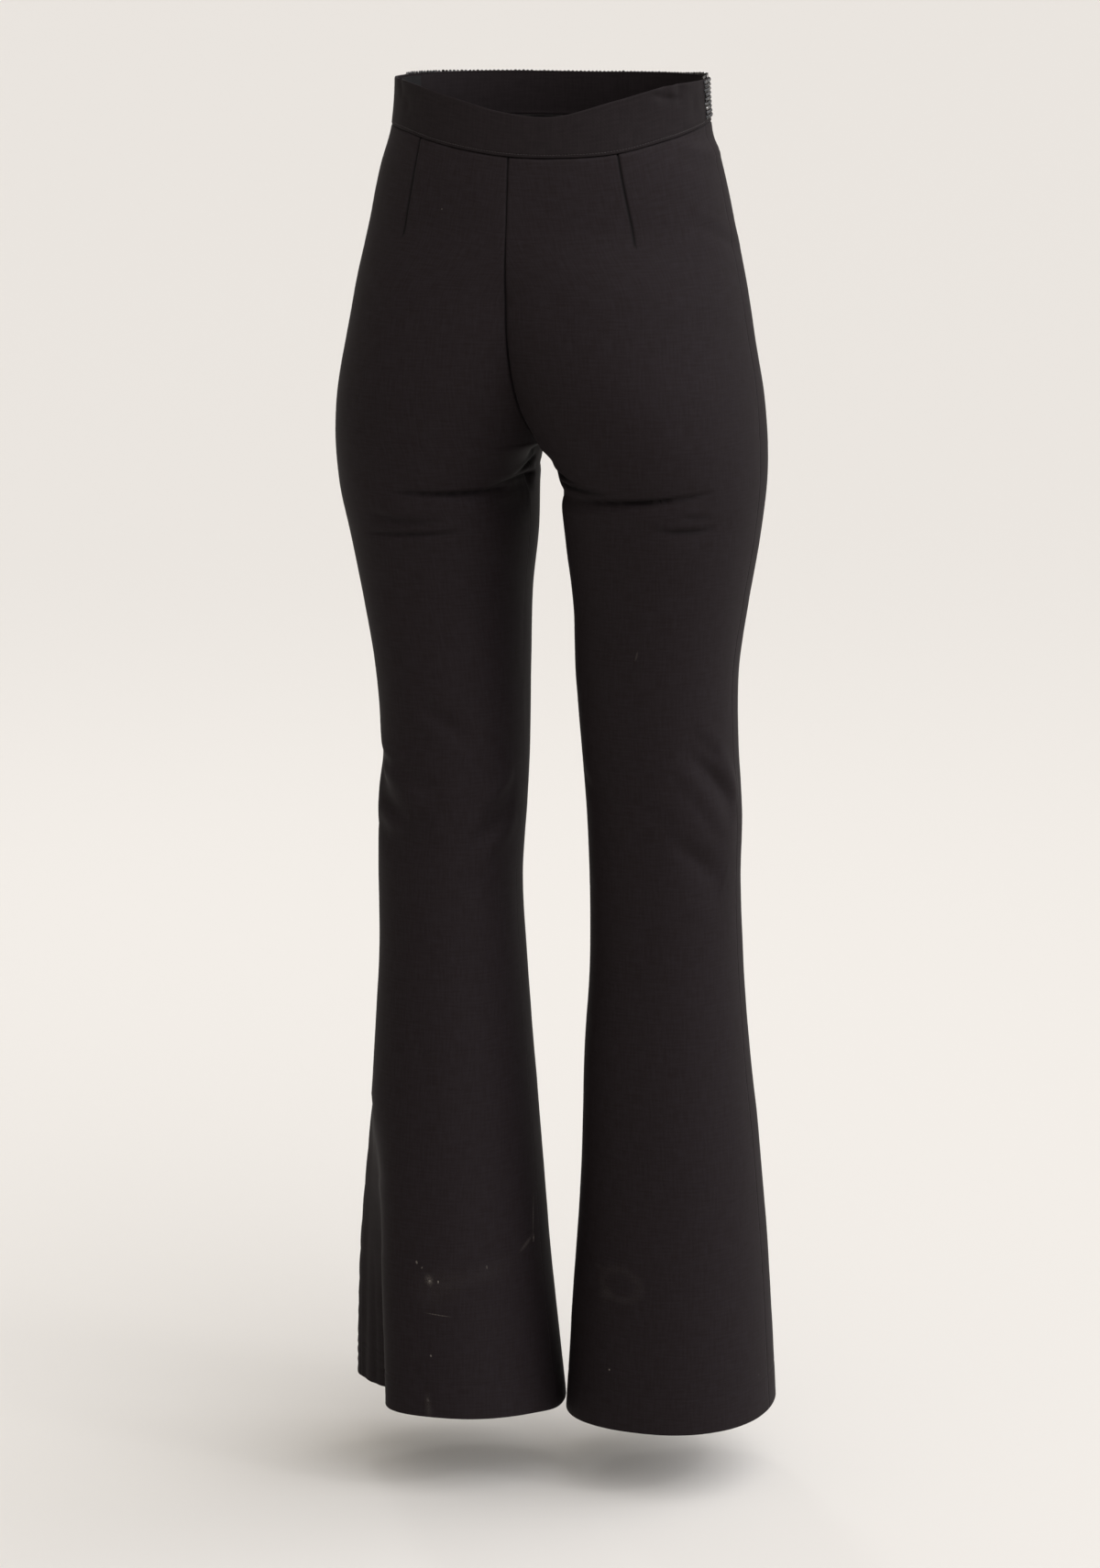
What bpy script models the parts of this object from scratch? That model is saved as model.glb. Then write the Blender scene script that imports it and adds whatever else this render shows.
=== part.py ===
"""Flared trousers, worn on a general figure: high waist, fitted seat, flare from the knee.

Metres, +Z up. The wearer faces -Y and the wearer's left side is +X. The origin is the
centre of the waist, where the wearer holds the garment up. The tables are in millimetres.
Each leg is a loop of cloth at every height. Above the crotch the two loops run into each
other and are cut off at the centre seams; below it they are whole.
"""
import math

import bmesh
import bpy
import numpy as np
from mathutils import Matrix, Vector

MM = 0.001
LEFT, RIGHT = 1, -1
BACK, FRONT = 1, -1

# ------------------------------------------------------------------ driving sizes, mm
CLOTH = 1.6              # wall of the stretch suiting
BAND_CLOTH = 2.2         # waistband, cloth and its facing pressed flat
BAND_PROUD = 0.4         # how far the waistband stands out of the leg panels
SEAM_GAP = 0.3
CROTCH = -251.0          # height of the crotch point
HEM = -1080.0
ROUNDNESS = 2.2          # exponent of the loops: 2 is an ellipse, more is squarer
LEG_RADIUS = 88.0        # turns angles into lengths along the cloth for the folds
CROTCH_ARCH = 1.5        # how fast the round arch between the legs opens at the inseam
# How much more gently the loops part away from the inseam: size and sharpness.
SIDE_ARCH = {(LEFT, BACK): (30.0, 3), (LEFT, FRONT): (36.0, 1),
             (RIGHT, BACK): (36.0, 1), (RIGHT, FRONT): (36.0, 1)}
HOLLOW_FROM = -60.0      # heights between which the two loops begin to show at the seat
HOLLOW_FULL = -135.0
DART_TOP_TO_TIP = 80.0
DART_FRACTION = 0.50     # mesh line that carries the dart
DART_DEPTH = 0.9
BEAD_BED = 1.8           # bed of set stones on the front of the waistband
BEAD_MARGIN = 2.5        # plain strip between the stones and the waist seam

# Hips: rows from the waist's top edge to the crotch.
HIP_COLUMNS = ("z", "outer", "inner", "centre", "back", "front")
HIPS = (
    (60.0, 128.5, 17.0, 0.0, 96.0, 94.0),
    (30.0, 128.5, 17.0, 0.0, 96.5, 94.0),
    (0.0, 132.0, 17.0, 0.0, 99.0, 96.0),
    (-30.0, 141.5, 17.0, 0.0, 102.0, 99.0),
    (-75.0, 151.5, 17.0, 0.0, 106.0, 103.0),
    (-120.0, 160.5, 17.0, 0.0, 111.0, 105.0),
    (-165.0, 168.5, 17.0, 0.0, 115.5, 104.5),
    (-205.0, 175.5, 17.0, 0.0, 116.0, 102.0),
    (-240.0, 178.5, 17.0, 0.0, 111.0, 98.5),
)
# Each leg below the crotch. The left foot stands a little farther back.
LEFT_LEG = (
    (-285.0, 177.5, 18.5, 0.0, 99.0, 94.0),
    (-330.0, 169.0, 19.5, -1.0, 90.0, 87.0),
    (-380.0, 159.5, 24.0, -1.0, 81.0, 80.0),
    (-440.0, 149.5, 24.5, 1.0, 73.0, 74.0),
    (-500.0, 144.5, 23.5, 4.0, 67.0, 69.0),
    (-560.0, 146.5, 24.5, 7.0, 64.0, 66.0),
    (-620.0, 146.0, 28.0, 9.0, 63.5, 65.0),
    (-680.0, 144.5, 25.0, 11.0, 66.0, 67.0),
    (-760.0, 147.5, 18.0, 14.0, 72.0, 72.5),
    (-860.0, 152.5, 9.0, 18.0, 80.0, 81.0),
    (-960.0, 158.0, -0.5, 22.0, 87.0, 89.0),
    (-1080.0, 161.0, -15.0, 26.0, 93.0, 96.0),
)
RIGHT_LEG = (
    (-285.0, 179.0, 17.0, 0.0, 99.0, 94.0),
    (-330.0, 173.5, 20.0, -2.0, 90.0, 87.0),
    (-380.0, 164.5, 25.0, -4.0, 81.0, 80.0),
    (-440.0, 155.5, 25.5, -7.0, 73.0, 74.0),
    (-500.0, 155.5, 28.5, -10.0, 67.0, 69.0),
    (-560.0, 158.5, 32.0, -13.0, 64.0, 66.0),
    (-620.0, 157.5, 34.0, -15.0, 63.5, 65.0),
    (-680.0, 159.0, 34.0, -17.0, 66.0, 67.0),
    (-760.0, 164.5, 29.0, -19.0, 72.0, 72.5),
    (-860.0, 174.5, 26.5, -21.0, 80.0, 81.0),
    (-960.0, 182.0, 20.0, -23.0, 87.0, 89.0),
    (-1080.0, 188.5, 12.0, -26.0, 93.0, 95.0),
)
# Darts: distance from the middle of the body at the waist seam and at the tip.
DART_OUT = {LEFT: (81.2, 93.6), RIGHT: (84.9, 100.8)}
# Crotch curve: at a seam the cloth keeps `depth`, then turns under in a quarter ellipse.
SEAM_CURVES = {BACK: (106.0, -139.0), FRONT: (103.0, -165.0)}

# Waistband edges round the body: 0 is the left side, 90 the centre back, 270 the front.
WAIST_COLUMNS = ("angle", "top", "seam")
WAISTLINE = (
    (0.0, 42.0, 6.5),
    (32.0, 39.5, 1.5),
    (60.0, 28.5, -9.5),
    (88.0, 17.0, -16.5),
    (112.0, 14.5, -17.5),
    (136.0, 26.5, -14.0),
    (156.0, 37.0, -4.0),
    (180.0, 41.0, 6.0),
    (225.0, 43.5, 7.0),
    (270.0, 43.0, 6.5),
    (315.0, 43.5, 7.0),
)
DIP_FADES_AT = -150.0    # height where the cross lines of the cloth have become level

# Hems round each leg: 0 is the outer side, 90 the back, 180 the inseam, 270 the front.
HEM_COLUMNS = ("angle", "left", "right")
HEMLINE = (
    (0.0, -1071.0, -1074.0),
    (60.0, -1066.0, -1075.0),
    (110.0, -1065.0, -1076.0),
    (150.0, -1069.0, -1079.0),
    (185.0, -1078.0, -1079.0),
    (230.0, -1077.0, -1074.0),
    (280.0, -1067.0, -1069.0),
    (330.0, -1070.0, -1072.0),
)
HEM_FADES_AT = -980.0    # height from which the cross lines bend towards the hem
SPREAD_DONE_AT = -330.0  # height where the lines along a panel are evenly spread

# Largest folds. Each runs through three points (angle, height, depth); a negative depth
# is a ridge. Angles turn from the outer side (0) over the back (90) to the inseam (180).
FOLD_COLUMNS = ("leg", "start", "middle", "end", "width")
FOLDS = (
    # under the seat
    (LEFT, (80, -287, 0), (130, -288, 4), (180, -285, 4), 7.5),
    (LEFT, (136, -299, 0), (158, -301, 3), (180, -300, 0), 11.0),
    (RIGHT, (44, -280, 0), (96, -288, 4), (156, -287, 3), 7.5),
    (LEFT, (60, -310, 0), (92, -312, 1.2), (128, -308, 0), 9.0),
    (RIGHT, (28, -306, 0), (60, -311, 1.2), (96, -308, 0), 9.0),
    # hollow of the knees
    (LEFT, (26, -520, 4), (46, -542, 4), (82, -566, 0), 13.0),
    (LEFT, (34, -566, 0), (62, -586, 4), (100, -572, 0), 14.0),
    (LEFT, (40, -512, 0), (88, -494, 3), (122, -500, 0), 16.0),
    (RIGHT, (60, -492, 0), (30, -520, 3.5), (8, -560, 0), 13.0),
    (RIGHT, (30, -500, 0), (14, -520, -3), (-4, -545, 0), 12.0),
    (RIGHT, (66, -572, 0), (40, -596, 3.5), (22, -612, 0), 14.0),
    # crease at the top of the thigh, in front
    (LEFT, (-150, -232, 0), (-112, -212, 4), (-66, -176, 0), 12.0),
    (RIGHT, (-150, -232, 0), (-108, -208, 4), (-60, -170, 0), 12.0),
    (LEFT, (-165, -262, 0), (-120, -252, 3), (-76, -232, 0), 10.0),
    (RIGHT, (-165, -262, 0), (-124, -256, 3), (-84, -240, 0), 10.0),
    # front of the knees
    (LEFT, (-70, -520, 0), (-104, -538, 3), (-140, -528, 0), 15.0),
    (RIGHT, (-58, -548, 0), (-92, -566, 3), (-132, -560, 0), 15.0),
    # flare: the side of the left leg folds in behind its front, the rest is softer
    (LEFT, (38, -810, 0), (36, -958, 22), (35, -1105, 40), 36.0),
    (LEFT, (-2, -770, -2), (-7, -930, -14), (-10, -1105, -16), 20.0),
    (LEFT, (-112, -800, 0), (-116, -950, 4), (-120, -1110, 8), 20.0),
    (RIGHT, (-40, -820, 0), (-42, -960, 4), (-44, -1110, 8), 18.0),
    (RIGHT, (-122, -840, 0), (-126, -970, 4), (-130, -1110, 7), 20.0),
)

# ------------------------------------------------------------------ where the mesh lines run
# Fractions from the side seam to the centre seam or inseam, the same on both legs.
BACK_LINES = (0.0, 0.008, 0.08, 0.16, 0.25, 0.34, 0.42, 0.49, DART_FRACTION, 0.51,
              0.59, 0.68, 0.78, 0.89, 0.986, 1.0)
FRONT_LINES = (0.0, 0.008, 0.045, 0.12, 0.24, 0.36, 0.48, 0.60, 0.72, 0.86, 0.986, 1.0)
# Heights of the cross lines: (from, steps), each zone ends where the next begins.
ZONES = ((HEM, 1), (HEM + 3, 1), (-1060, 1), (-1025, 9), (-620, 11), (-460, 6), (-328, 5),
         (-286, 3), (-266, 1))
ARCH_STEPS = 9           # lines between the crotch point and the top of the crotch curve
HIP_ZONES = ((-139, 6), (-22, 1), (-2.5, 1))
BAND_LINES = (0.0, 0.06, 0.35, 0.68, 1.0)
BEAD_LINES = (0.0, 0.35, 0.68, 1.0)


# ------------------------------------------------------------------ curves through the tables
def curve_through(keys, values, at):
    """Smooth curve through a few points, read at any key (cubic Hermite)."""
    keys = np.asarray(keys, float)
    values = np.asarray(values, float)
    order = np.argsort(keys)
    keys = keys[order]
    values = values[order]
    slopes = np.gradient(values, keys)
    at = np.clip(np.asarray(at, float), keys[0], keys[-1])
    i = np.clip(np.searchsorted(keys, at) - 1, 0, len(keys) - 2)
    span = keys[i + 1] - keys[i]
    t = (at - keys[i]) / span
    start = values[i] * (1 + 2 * t) * (1 - t) ** 2 + slopes[i] * span * t * (1 - t) ** 2
    end = values[i + 1] * t * t * (3 - 2 * t) + slopes[i + 1] * span * t * t * (t - 1)
    return start + end


def column(rows, names, name):
    """One named column of a table."""
    place = names.index(name)
    return [row[place] for row in rows]


def body(side, name, z):
    """A column of the hips and one leg, read at height z."""
    rows = HIPS + (LEFT_LEG if side == LEFT else RIGHT_LEG)
    return curve_through(column(rows, HIP_COLUMNS, "z"), column(rows, HIP_COLUMNS, name), z)


def waistline(name, angle):
    """Height of the waistband's top edge or seam at an angle round the body."""
    angles = np.array(column(WAISTLINE, WAIST_COLUMNS, "angle"))
    heights = np.array(column(WAISTLINE, WAIST_COLUMNS, name))
    angles = np.concatenate([angles - 360, angles, angles + 360])
    return curve_through(angles, np.tile(heights, 3), np.asarray(angle) % 360)


def hemline(side, angle):
    """Height of a hem at an angle round the leg."""
    angles = np.array(column(HEMLINE, HEM_COLUMNS, "angle"))
    name = "left" if side == LEFT else "right"
    heights = np.array(column(HEMLINE, HEM_COLUMNS, name))
    angles = np.concatenate([angles - 360, angles, angles + 360])
    return curve_through(angles, np.tile(heights, 3), np.asarray(angle) % 360)


def eased(share):
    """A share that starts and ends gently, kept between 0 and 1."""
    share = np.clip(share, 0, 1)
    return share * share * (3 - 2 * share)


def through_three(start, middle, end, t):
    """Parabola that passes start, middle and end at t = 0, 0.5 and 1."""
    return start * (1 - t) * (1 - 2 * t) + 4 * middle * t * (1 - t) + end * t * (2 * t - 1)


def fold_depth(side, angle, z):
    """How far the folds push the cloth out at an angle and height of one leg."""
    push = np.zeros_like(z)
    t = np.linspace(0, 1, 41)
    mm_per_degree = math.radians(LEG_RADIUS)
    for row in FOLDS:
        leg, start, middle, end, width = row
        if leg != side:
            continue
        path_angle, path_z, path_depth = (
            through_three(start[k], middle[k], end[k], t) for k in range(3))
        turn = (angle[..., None] - path_angle + 180) % 360 - 180
        apart = (turn * mm_per_degree) ** 2 + (z[..., None] - path_z) ** 2
        nearest = np.argmin(apart, axis=-1)
        closest = np.take_along_axis(apart, nearest[..., None], axis=-1)[..., 0]
        push -= path_depth[nearest] * np.exp(-closest / width ** 2)
    return push


# ------------------------------------------------------------------ the surface of the cloth
def surface(side, half, u, z, gap=SEAM_GAP):
    """Point of the outer cloth, mm: u runs from the side seam (0) to the centre or inseam (1)."""
    u, z = np.broadcast_arrays(np.asarray(u, float), np.asarray(z, float))
    above = z > CROTCH
    outer = body(side, "outer", z)
    depth = body(side, "back" if half == BACK else "front", z)
    side_arch, sharpness = SIDE_ARCH[side, half]
    gentle = CROTCH_ARCH + side_arch * (1 - u ** sharpness)
    arch = 1 - np.exp(np.minimum(z - CROTCH, 0) / gentle)
    inner = body(side, "inner", z) * arch
    seam_depth, turn_height = SEAM_CURVES[half]
    turned = np.clip((turn_height - z) / (turn_height - CROTCH), 0, 1)
    shape = np.clip(seam_depth / depth, 0, 1) * np.sqrt(1 - turned ** 2)
    overlap = (1 - shape ** ROUNDNESS) ** (1 / ROUNDNESS)
    overlap = overlap * eased((z - HOLLOW_FROM) / (HOLLOW_FULL - HOLLOW_FROM))
    shape = (1 - overlap ** ROUNDNESS) ** (1 / ROUNDNESS)
    centre = np.where(above, outer * overlap / (1 + overlap), (outer + inner) / 2)
    width = np.where(above, outer / (1 + overlap), (outer - inner) / 2)
    end = np.where(above, np.arctan2(depth * shape, -centre), math.pi)
    half_gap = gap / 2 / LEG_RADIUS
    end = end - half_gap * np.where(above, 1, 2)
    even = math.pi / 2 * (1 + eased(z / SPREAD_DONE_AT))
    turn = half_gap + even * u + (end - even) * u ** 4
    reach = (np.abs(np.cos(turn) / width) ** ROUNDNESS
             + np.abs(np.sin(turn) / depth) ** ROUNDNESS) ** (-1 / ROUNDNESS)
    reach = reach + fold_depth(side, half * np.degrees(turn), z)
    x = centre + reach * np.cos(turn)
    y = half * np.maximum(reach * np.sin(turn), gap / 2) + body(side, "centre", z)
    x = np.where(above, np.maximum(x, gap / 2), x)
    return np.stack([side * x, y, z], axis=-1)


def outward(side, half, u, z, gap=SEAM_GAP):
    """Unit normal of the cloth, pointing away from the wearer."""
    step = 1e-3
    across = surface(side, half, u + step, z, gap) - surface(side, half, u - step, z, gap)
    up = surface(side, half, u, z + 1, gap) - surface(side, half, u, z - 1, gap)
    normal = side * half * np.cross(across, up)
    return normal / np.linalg.norm(normal, axis=-1, keepdims=True)


def around(side, half, u):
    """Angle round the body of a line of the hips, 0 at the left side and 90 at the back."""
    quarter = 90 * np.asarray(u, float) * half
    return quarter if side == LEFT else 180 - quarter


def cloth_lines():
    """Heights of the cross lines of a leg panel, from the hem to the waist seam."""
    heights = []
    stops = [zone[0] for zone in ZONES[1:]] + [CROTCH]
    for (start, steps), stop in zip(ZONES, stops):
        heights += [start + (stop - start) * k / steps for k in range(steps)]
    top = HIP_ZONES[0][0]
    for k in range(ARCH_STEPS):
        quarter_turn = math.pi / 2 * k / ARCH_STEPS
        heights.append(top + (CROTCH - top) * math.cos(quarter_turn))
    stops = [zone[0] for zone in HIP_ZONES[1:]] + [0.0]
    for (start, steps), stop in zip(HIP_ZONES, stops):
        heights += [start + (stop - start) * k / steps for k in range(steps)]
    return heights + [0.0]


def follow_edges(side, half, u, z):
    """Height of a cross line, which dips with the waist seam and bends with the hem."""
    dip = eased(1 - z / DIP_FADES_AT) * (waistline("seam", around(side, half, u)) - SEAM_GAP / 2)
    hem_share = eased((z - HEM_FADES_AT) / (HEM - HEM_FADES_AT))
    lift = hem_share * (hemline(side, 180 * half * np.asarray(u, float)) - HEM)
    return z + dip + lift


def dart_fraction(side, z):
    """Where the straight dart crosses a cross line; below its tip the last value stays."""
    z = max(z, -DART_TOP_TO_TIP)
    at_waist, at_tip = DART_OUT[side]
    target = at_waist - (at_tip - at_waist) * z / DART_TOP_TO_TIP
    tried = np.linspace(0.3, 0.7, 81)
    out = np.abs(surface(side, BACK, tried, follow_edges(side, BACK, tried, z))[:, 0])
    return float(np.interp(target, out[::-1], tried[::-1]))


def panel_lines(side, half, z):
    """Fractions across a panel at the height of a cross line; at the back they follow the
    dart."""
    if half == FRONT:
        return np.array(FRONT_LINES)
    lines = np.array(BACK_LINES)
    share = np.interp(lines, (0.08, 0.42, 0.59, 0.89), (0, 1, 1, 0))
    return lines + share * (dart_fraction(side, z) - DART_FRACTION)


# ------------------------------------------------------------------ making the pieces
def clear_scene():
    for old in list(bpy.data.objects):
        bpy.data.objects.remove(old, do_unlink=True)


def new_collection(name):
    collection = bpy.data.collections.new(name)
    bpy.context.scene.collection.children.link(collection)
    return collection


def finish(name, colour, roughness, metallic=0.0):
    """A plain material with a Principled BSDF."""
    material = bpy.data.materials.new(name)
    material.use_nodes = True
    shader = material.node_tree.nodes["Principled BSDF"]
    shader.inputs["Base Color"].default_value = (*colour, 1.0)
    shader.inputs["Roughness"].default_value = roughness
    shader.inputs["Metallic"].default_value = metallic
    material.diffuse_color = (*colour, 1.0)
    return material


def add_object(name, mesh, material, collection):
    mesh.materials.append(material)
    item = bpy.data.objects.new(name, mesh)
    collection.objects.link(item)
    return item


def cloth_piece(name, points, wall, inwards, material, collection):
    """A sheet through a grid of outer points (lines up, then across), given its wall."""
    rows, columns = points.shape[0], points.shape[1]
    sheet = bmesh.new()
    bmesh.ops.create_grid(sheet, x_segments=columns - 1, y_segments=rows - 1, size=0.5)
    for vert in sheet.verts:
        across = round((vert.co.x + 0.5) * (columns - 1))
        up = round((vert.co.y + 0.5) * (rows - 1))
        vert.co = Vector(points[up, across] * MM)
    if inwards:
        bmesh.ops.reverse_faces(sheet, faces=sheet.faces)
    mesh = bpy.data.meshes.new(name)
    sheet.to_mesh(mesh)
    sheet.free()
    mesh.shade_smooth()
    item = add_object(name, mesh, material, collection)
    wall_maker = item.modifiers.new("wall", "SOLIDIFY")
    wall_maker.thickness = wall * MM
    wall_maker.offset = -1.0
    return item


def dart_groove(z_line):
    """Depth of the sewn dart below the waist seam, on its own line of the back panels."""
    along = np.clip(1 + z_line / DART_TOP_TO_TIP, 0, 1)
    on_dart = np.array(BACK_LINES) == DART_FRACTION
    return DART_DEPTH * np.sqrt(along) * on_dart


def leg_panel(side, half, material, collection):
    """A front or back of one leg, from the waist seam to the hem."""
    heights = cloth_lines()
    u = np.array([panel_lines(side, half, z) for z in heights])
    z_line = np.array(heights)[:, None] * np.ones_like(u)
    z = follow_edges(side, half, u, z_line)
    points = surface(side, half, u, z)
    if half == BACK:
        points = points - outward(side, half, u, z) * dart_groove(z_line)[..., None]
    name = ("back_" if half == BACK else "front_") + ("left" if side == LEFT else "right")
    return cloth_piece(name, points, CLOTH, side * half < 0, material, collection)


def band_points(half, lines, share, proud, low=0.0):
    """Points of a band round one half of the waist, from the left side to the right."""
    left = np.array(lines)
    right = left[left < 1][::-1]
    parts = []
    for side, u in ((LEFT, left), (RIGHT, right)):
        angle = around(side, half, u)
        seam = waistline("seam", angle) + SEAM_GAP / 2 + low
        top = waistline("top", angle)
        u_grid, share_grid = np.meshgrid(u, share)
        z = seam + (top - seam) * share_grid
        cut = gap_at_sides(u_grid)
        normal = outward(side, half, u_grid, z, 0.0)
        points = surface(side, half, u_grid, z, 0.0) + normal * proud
        points[..., 1] += half * cut
        parts.append(points)
    return np.concatenate(parts, axis=1)


def gap_at_sides(u):
    """Half of the seam's gap, given to the points that lie at a side seam."""
    return np.where(u == 0, SEAM_GAP / 2, 0.0)


def waistband(half, material, collection):
    """A curved band, cut in two at the side seams."""
    lines = BACK_LINES if half == BACK else FRONT_LINES
    name = "waistband_back" if half == BACK else "waistband_front"
    points = band_points(half, lines, BAND_LINES, BAND_PROUD)
    return cloth_piece(name, points, BAND_CLOTH, half == FRONT, material, collection)


def bead_bed(material, collection):
    """The bed of set stones that covers the front of the waistband."""
    lines = FRONT_LINES[2:]
    proud = BAND_PROUD + SEAM_GAP + BEAD_BED
    points = band_points(FRONT, lines, BEAD_LINES, proud, BEAD_MARGIN)
    return cloth_piece("bead_trim", points, BEAD_BED, True, material, collection)


# ------------------------------------------------------------------ side zip, mm
ZIP_BOTTOM = -170.0
ZIP_BAND_LINES = (0.06, 0.35, 0.68, 0.94)  # cross lines of the tape behind the waistband
ZIP_TAPE = 0.8
ZIP_TAPE_INSIDE = 2.3    # from the cloth's outer face to the tape
SLIDER = (1.3, 6.4, 9.5) # thickness, width, height of the slider's plate
SLIDER_FROM_TOP = 9.0    # its middle below the waistband's top edge
CROWN_WIDTH = 1.3        # the arch on the plate that the pull hangs in
CROWN_BAR = 0.9
CROWN_CLEAR = 1.9        # space under the arch, out of the cloth
CROWN_LENGTH = 4.0       # space under the arch, along the zip
PIVOT_UP = 1.2           # pull's axis above the middle of the plate
PULL_LENGTH = 17.0
PULL_BAR = 0.65          # from the pull's axis to its upper end
PULL_EYE = 2.35          # radius of the pull round its eye
EYE_START = 0.5          # the eye is a slot: from, to, radius
EYE_END = 3.9
EYE_RADIUS = 1.15
PULL_DROP = 3.2          # radius of the pull's round end
DROP_HOLE = 1.4
PULL_THICKNESS = 0.9


def side_frame(z):
    """Frame on the left side seam: X out of the cloth, Y to the back, Z up along the cloth."""
    height = np.array([z])
    point = surface(LEFT, BACK, np.array([0.0]), height, 0.0)[0]
    above = surface(LEFT, BACK, np.array([0.0]), height + 1, 0.0)[0]
    up = Vector(above - point).normalized()
    back = Vector((0, 1, 0))
    out = back.cross(up).normalized()
    place = Vector(point) + out * (BAND_PROUD + SEAM_GAP)
    frame = Matrix((out, back, up)).transposed().to_4x4()
    return Matrix.Translation(place * MM) @ frame


def zip_tape(material, collection):
    """The zip's tape inside the left side seam, on the same lines as the cloth over it."""
    heights = [z for z in cloth_lines() if z > ZIP_BOTTOM]
    parts = []
    for half, lines in ((FRONT, FRONT_LINES[1:4][::-1]), (BACK, BACK_LINES[:3])):
        u, z_line = np.meshgrid(lines, heights)
        z = follow_edges(LEFT, half, u, z_line)
        angle = around(LEFT, half, np.array(lines))
        band = np.meshgrid(np.ones(len(lines)), ZIP_BAND_LINES)[1]
        seam, top = (waistline(edge, angle) for edge in ("seam", "top"))
        z = np.concatenate([z, seam + (top - seam) * band])
        u = np.concatenate([u, np.broadcast_to(lines, band.shape)])
        normal = outward(LEFT, half, u, z, 0.0)
        parts.append(surface(LEFT, half, u, z, 0.0) - normal * ZIP_TAPE_INSIDE)
    points = np.concatenate(parts, axis=1)
    return cloth_piece("zip_tape", points, ZIP_TAPE, False, material, collection)


def block(size, centre):
    """A box as a mesh, sized and placed in mm."""
    box = bmesh.new()
    bmesh.ops.create_cube(box, size=1.0)
    bmesh.ops.scale(box, vec=Vector(size) * MM, verts=box.verts)
    bmesh.ops.translate(box, vec=Vector(centre) * MM, verts=box.verts)
    return box


def as_mesh(work, name):
    mesh = bpy.data.meshes.new(name)
    work.to_mesh(mesh)
    work.free()
    return mesh


def crown(name):
    """The arch on the slider: a C seen from the side, as thick as the crown is wide."""
    low = PIVOT_UP - CROWN_LENGTH / 2
    high = PIVOT_UP + CROWN_LENGTH / 2
    root = SLIDER[0] * 0.75
    clear = SLIDER[0] + CROWN_CLEAR
    out = clear + CROWN_BAR
    chamfer = CROWN_BAR * 0.5
    outline = ((root, low - CROWN_BAR), (out - chamfer, low - CROWN_BAR),
               (out, low - CROWN_BAR + chamfer), (out, high + CROWN_BAR - chamfer),
               (out - chamfer, high + CROWN_BAR), (root, high + CROWN_BAR),
               (root, high), (clear, high), (clear, low), (root, low))
    work = bmesh.new()
    ring = [work.verts.new((x * MM, -CROWN_WIDTH / 2 * MM, z * MM)) for x, z in outline]
    side = work.faces.new(ring)
    grown = bmesh.ops.extrude_face_region(work, geom=[side])["geom"]
    far = [item for item in grown if isinstance(item, bmesh.types.BMVert)]
    bmesh.ops.translate(work, vec=Vector((0, CROWN_WIDTH * MM, 0)), verts=far)
    bmesh.ops.recalc_face_normals(work, faces=work.faces)
    return as_mesh(work, name)


def zip_slider(frame, material, collection, cutters):
    """The slider's plate with the arch that carries the pull."""
    plate = block(SLIDER, (SLIDER[0] / 2, 0, 0))
    bmesh.ops.bevel(plate, geom=plate.edges, offset=0.45 * MM, segments=2, profile=0.5,
                    affect="EDGES", material=-1)
    slider = add_object("zip_slider", as_mesh(plate, "zip_slider"), material, collection)
    slider.matrix_world = frame
    arch = bpy.data.objects.new("crown", crown("crown"))
    arch.matrix_world = frame
    arch.hide_render = True
    arch.display_type = "WIRE"
    cutters.objects.link(arch)
    join = slider.modifiers.new("join", "BOOLEAN")
    join.operation = "UNION"
    join.object = arch
    return slider


def arc(centre, radius, start, stop, steps):
    """Points of an arc, degrees, in the plane of the pull."""
    points = []
    for k in range(steps + 1):
        turn = math.radians(start + (stop - start) * k / steps)
        points.append((centre + radius * math.cos(turn), radius * math.sin(turn)))
    return points


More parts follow.
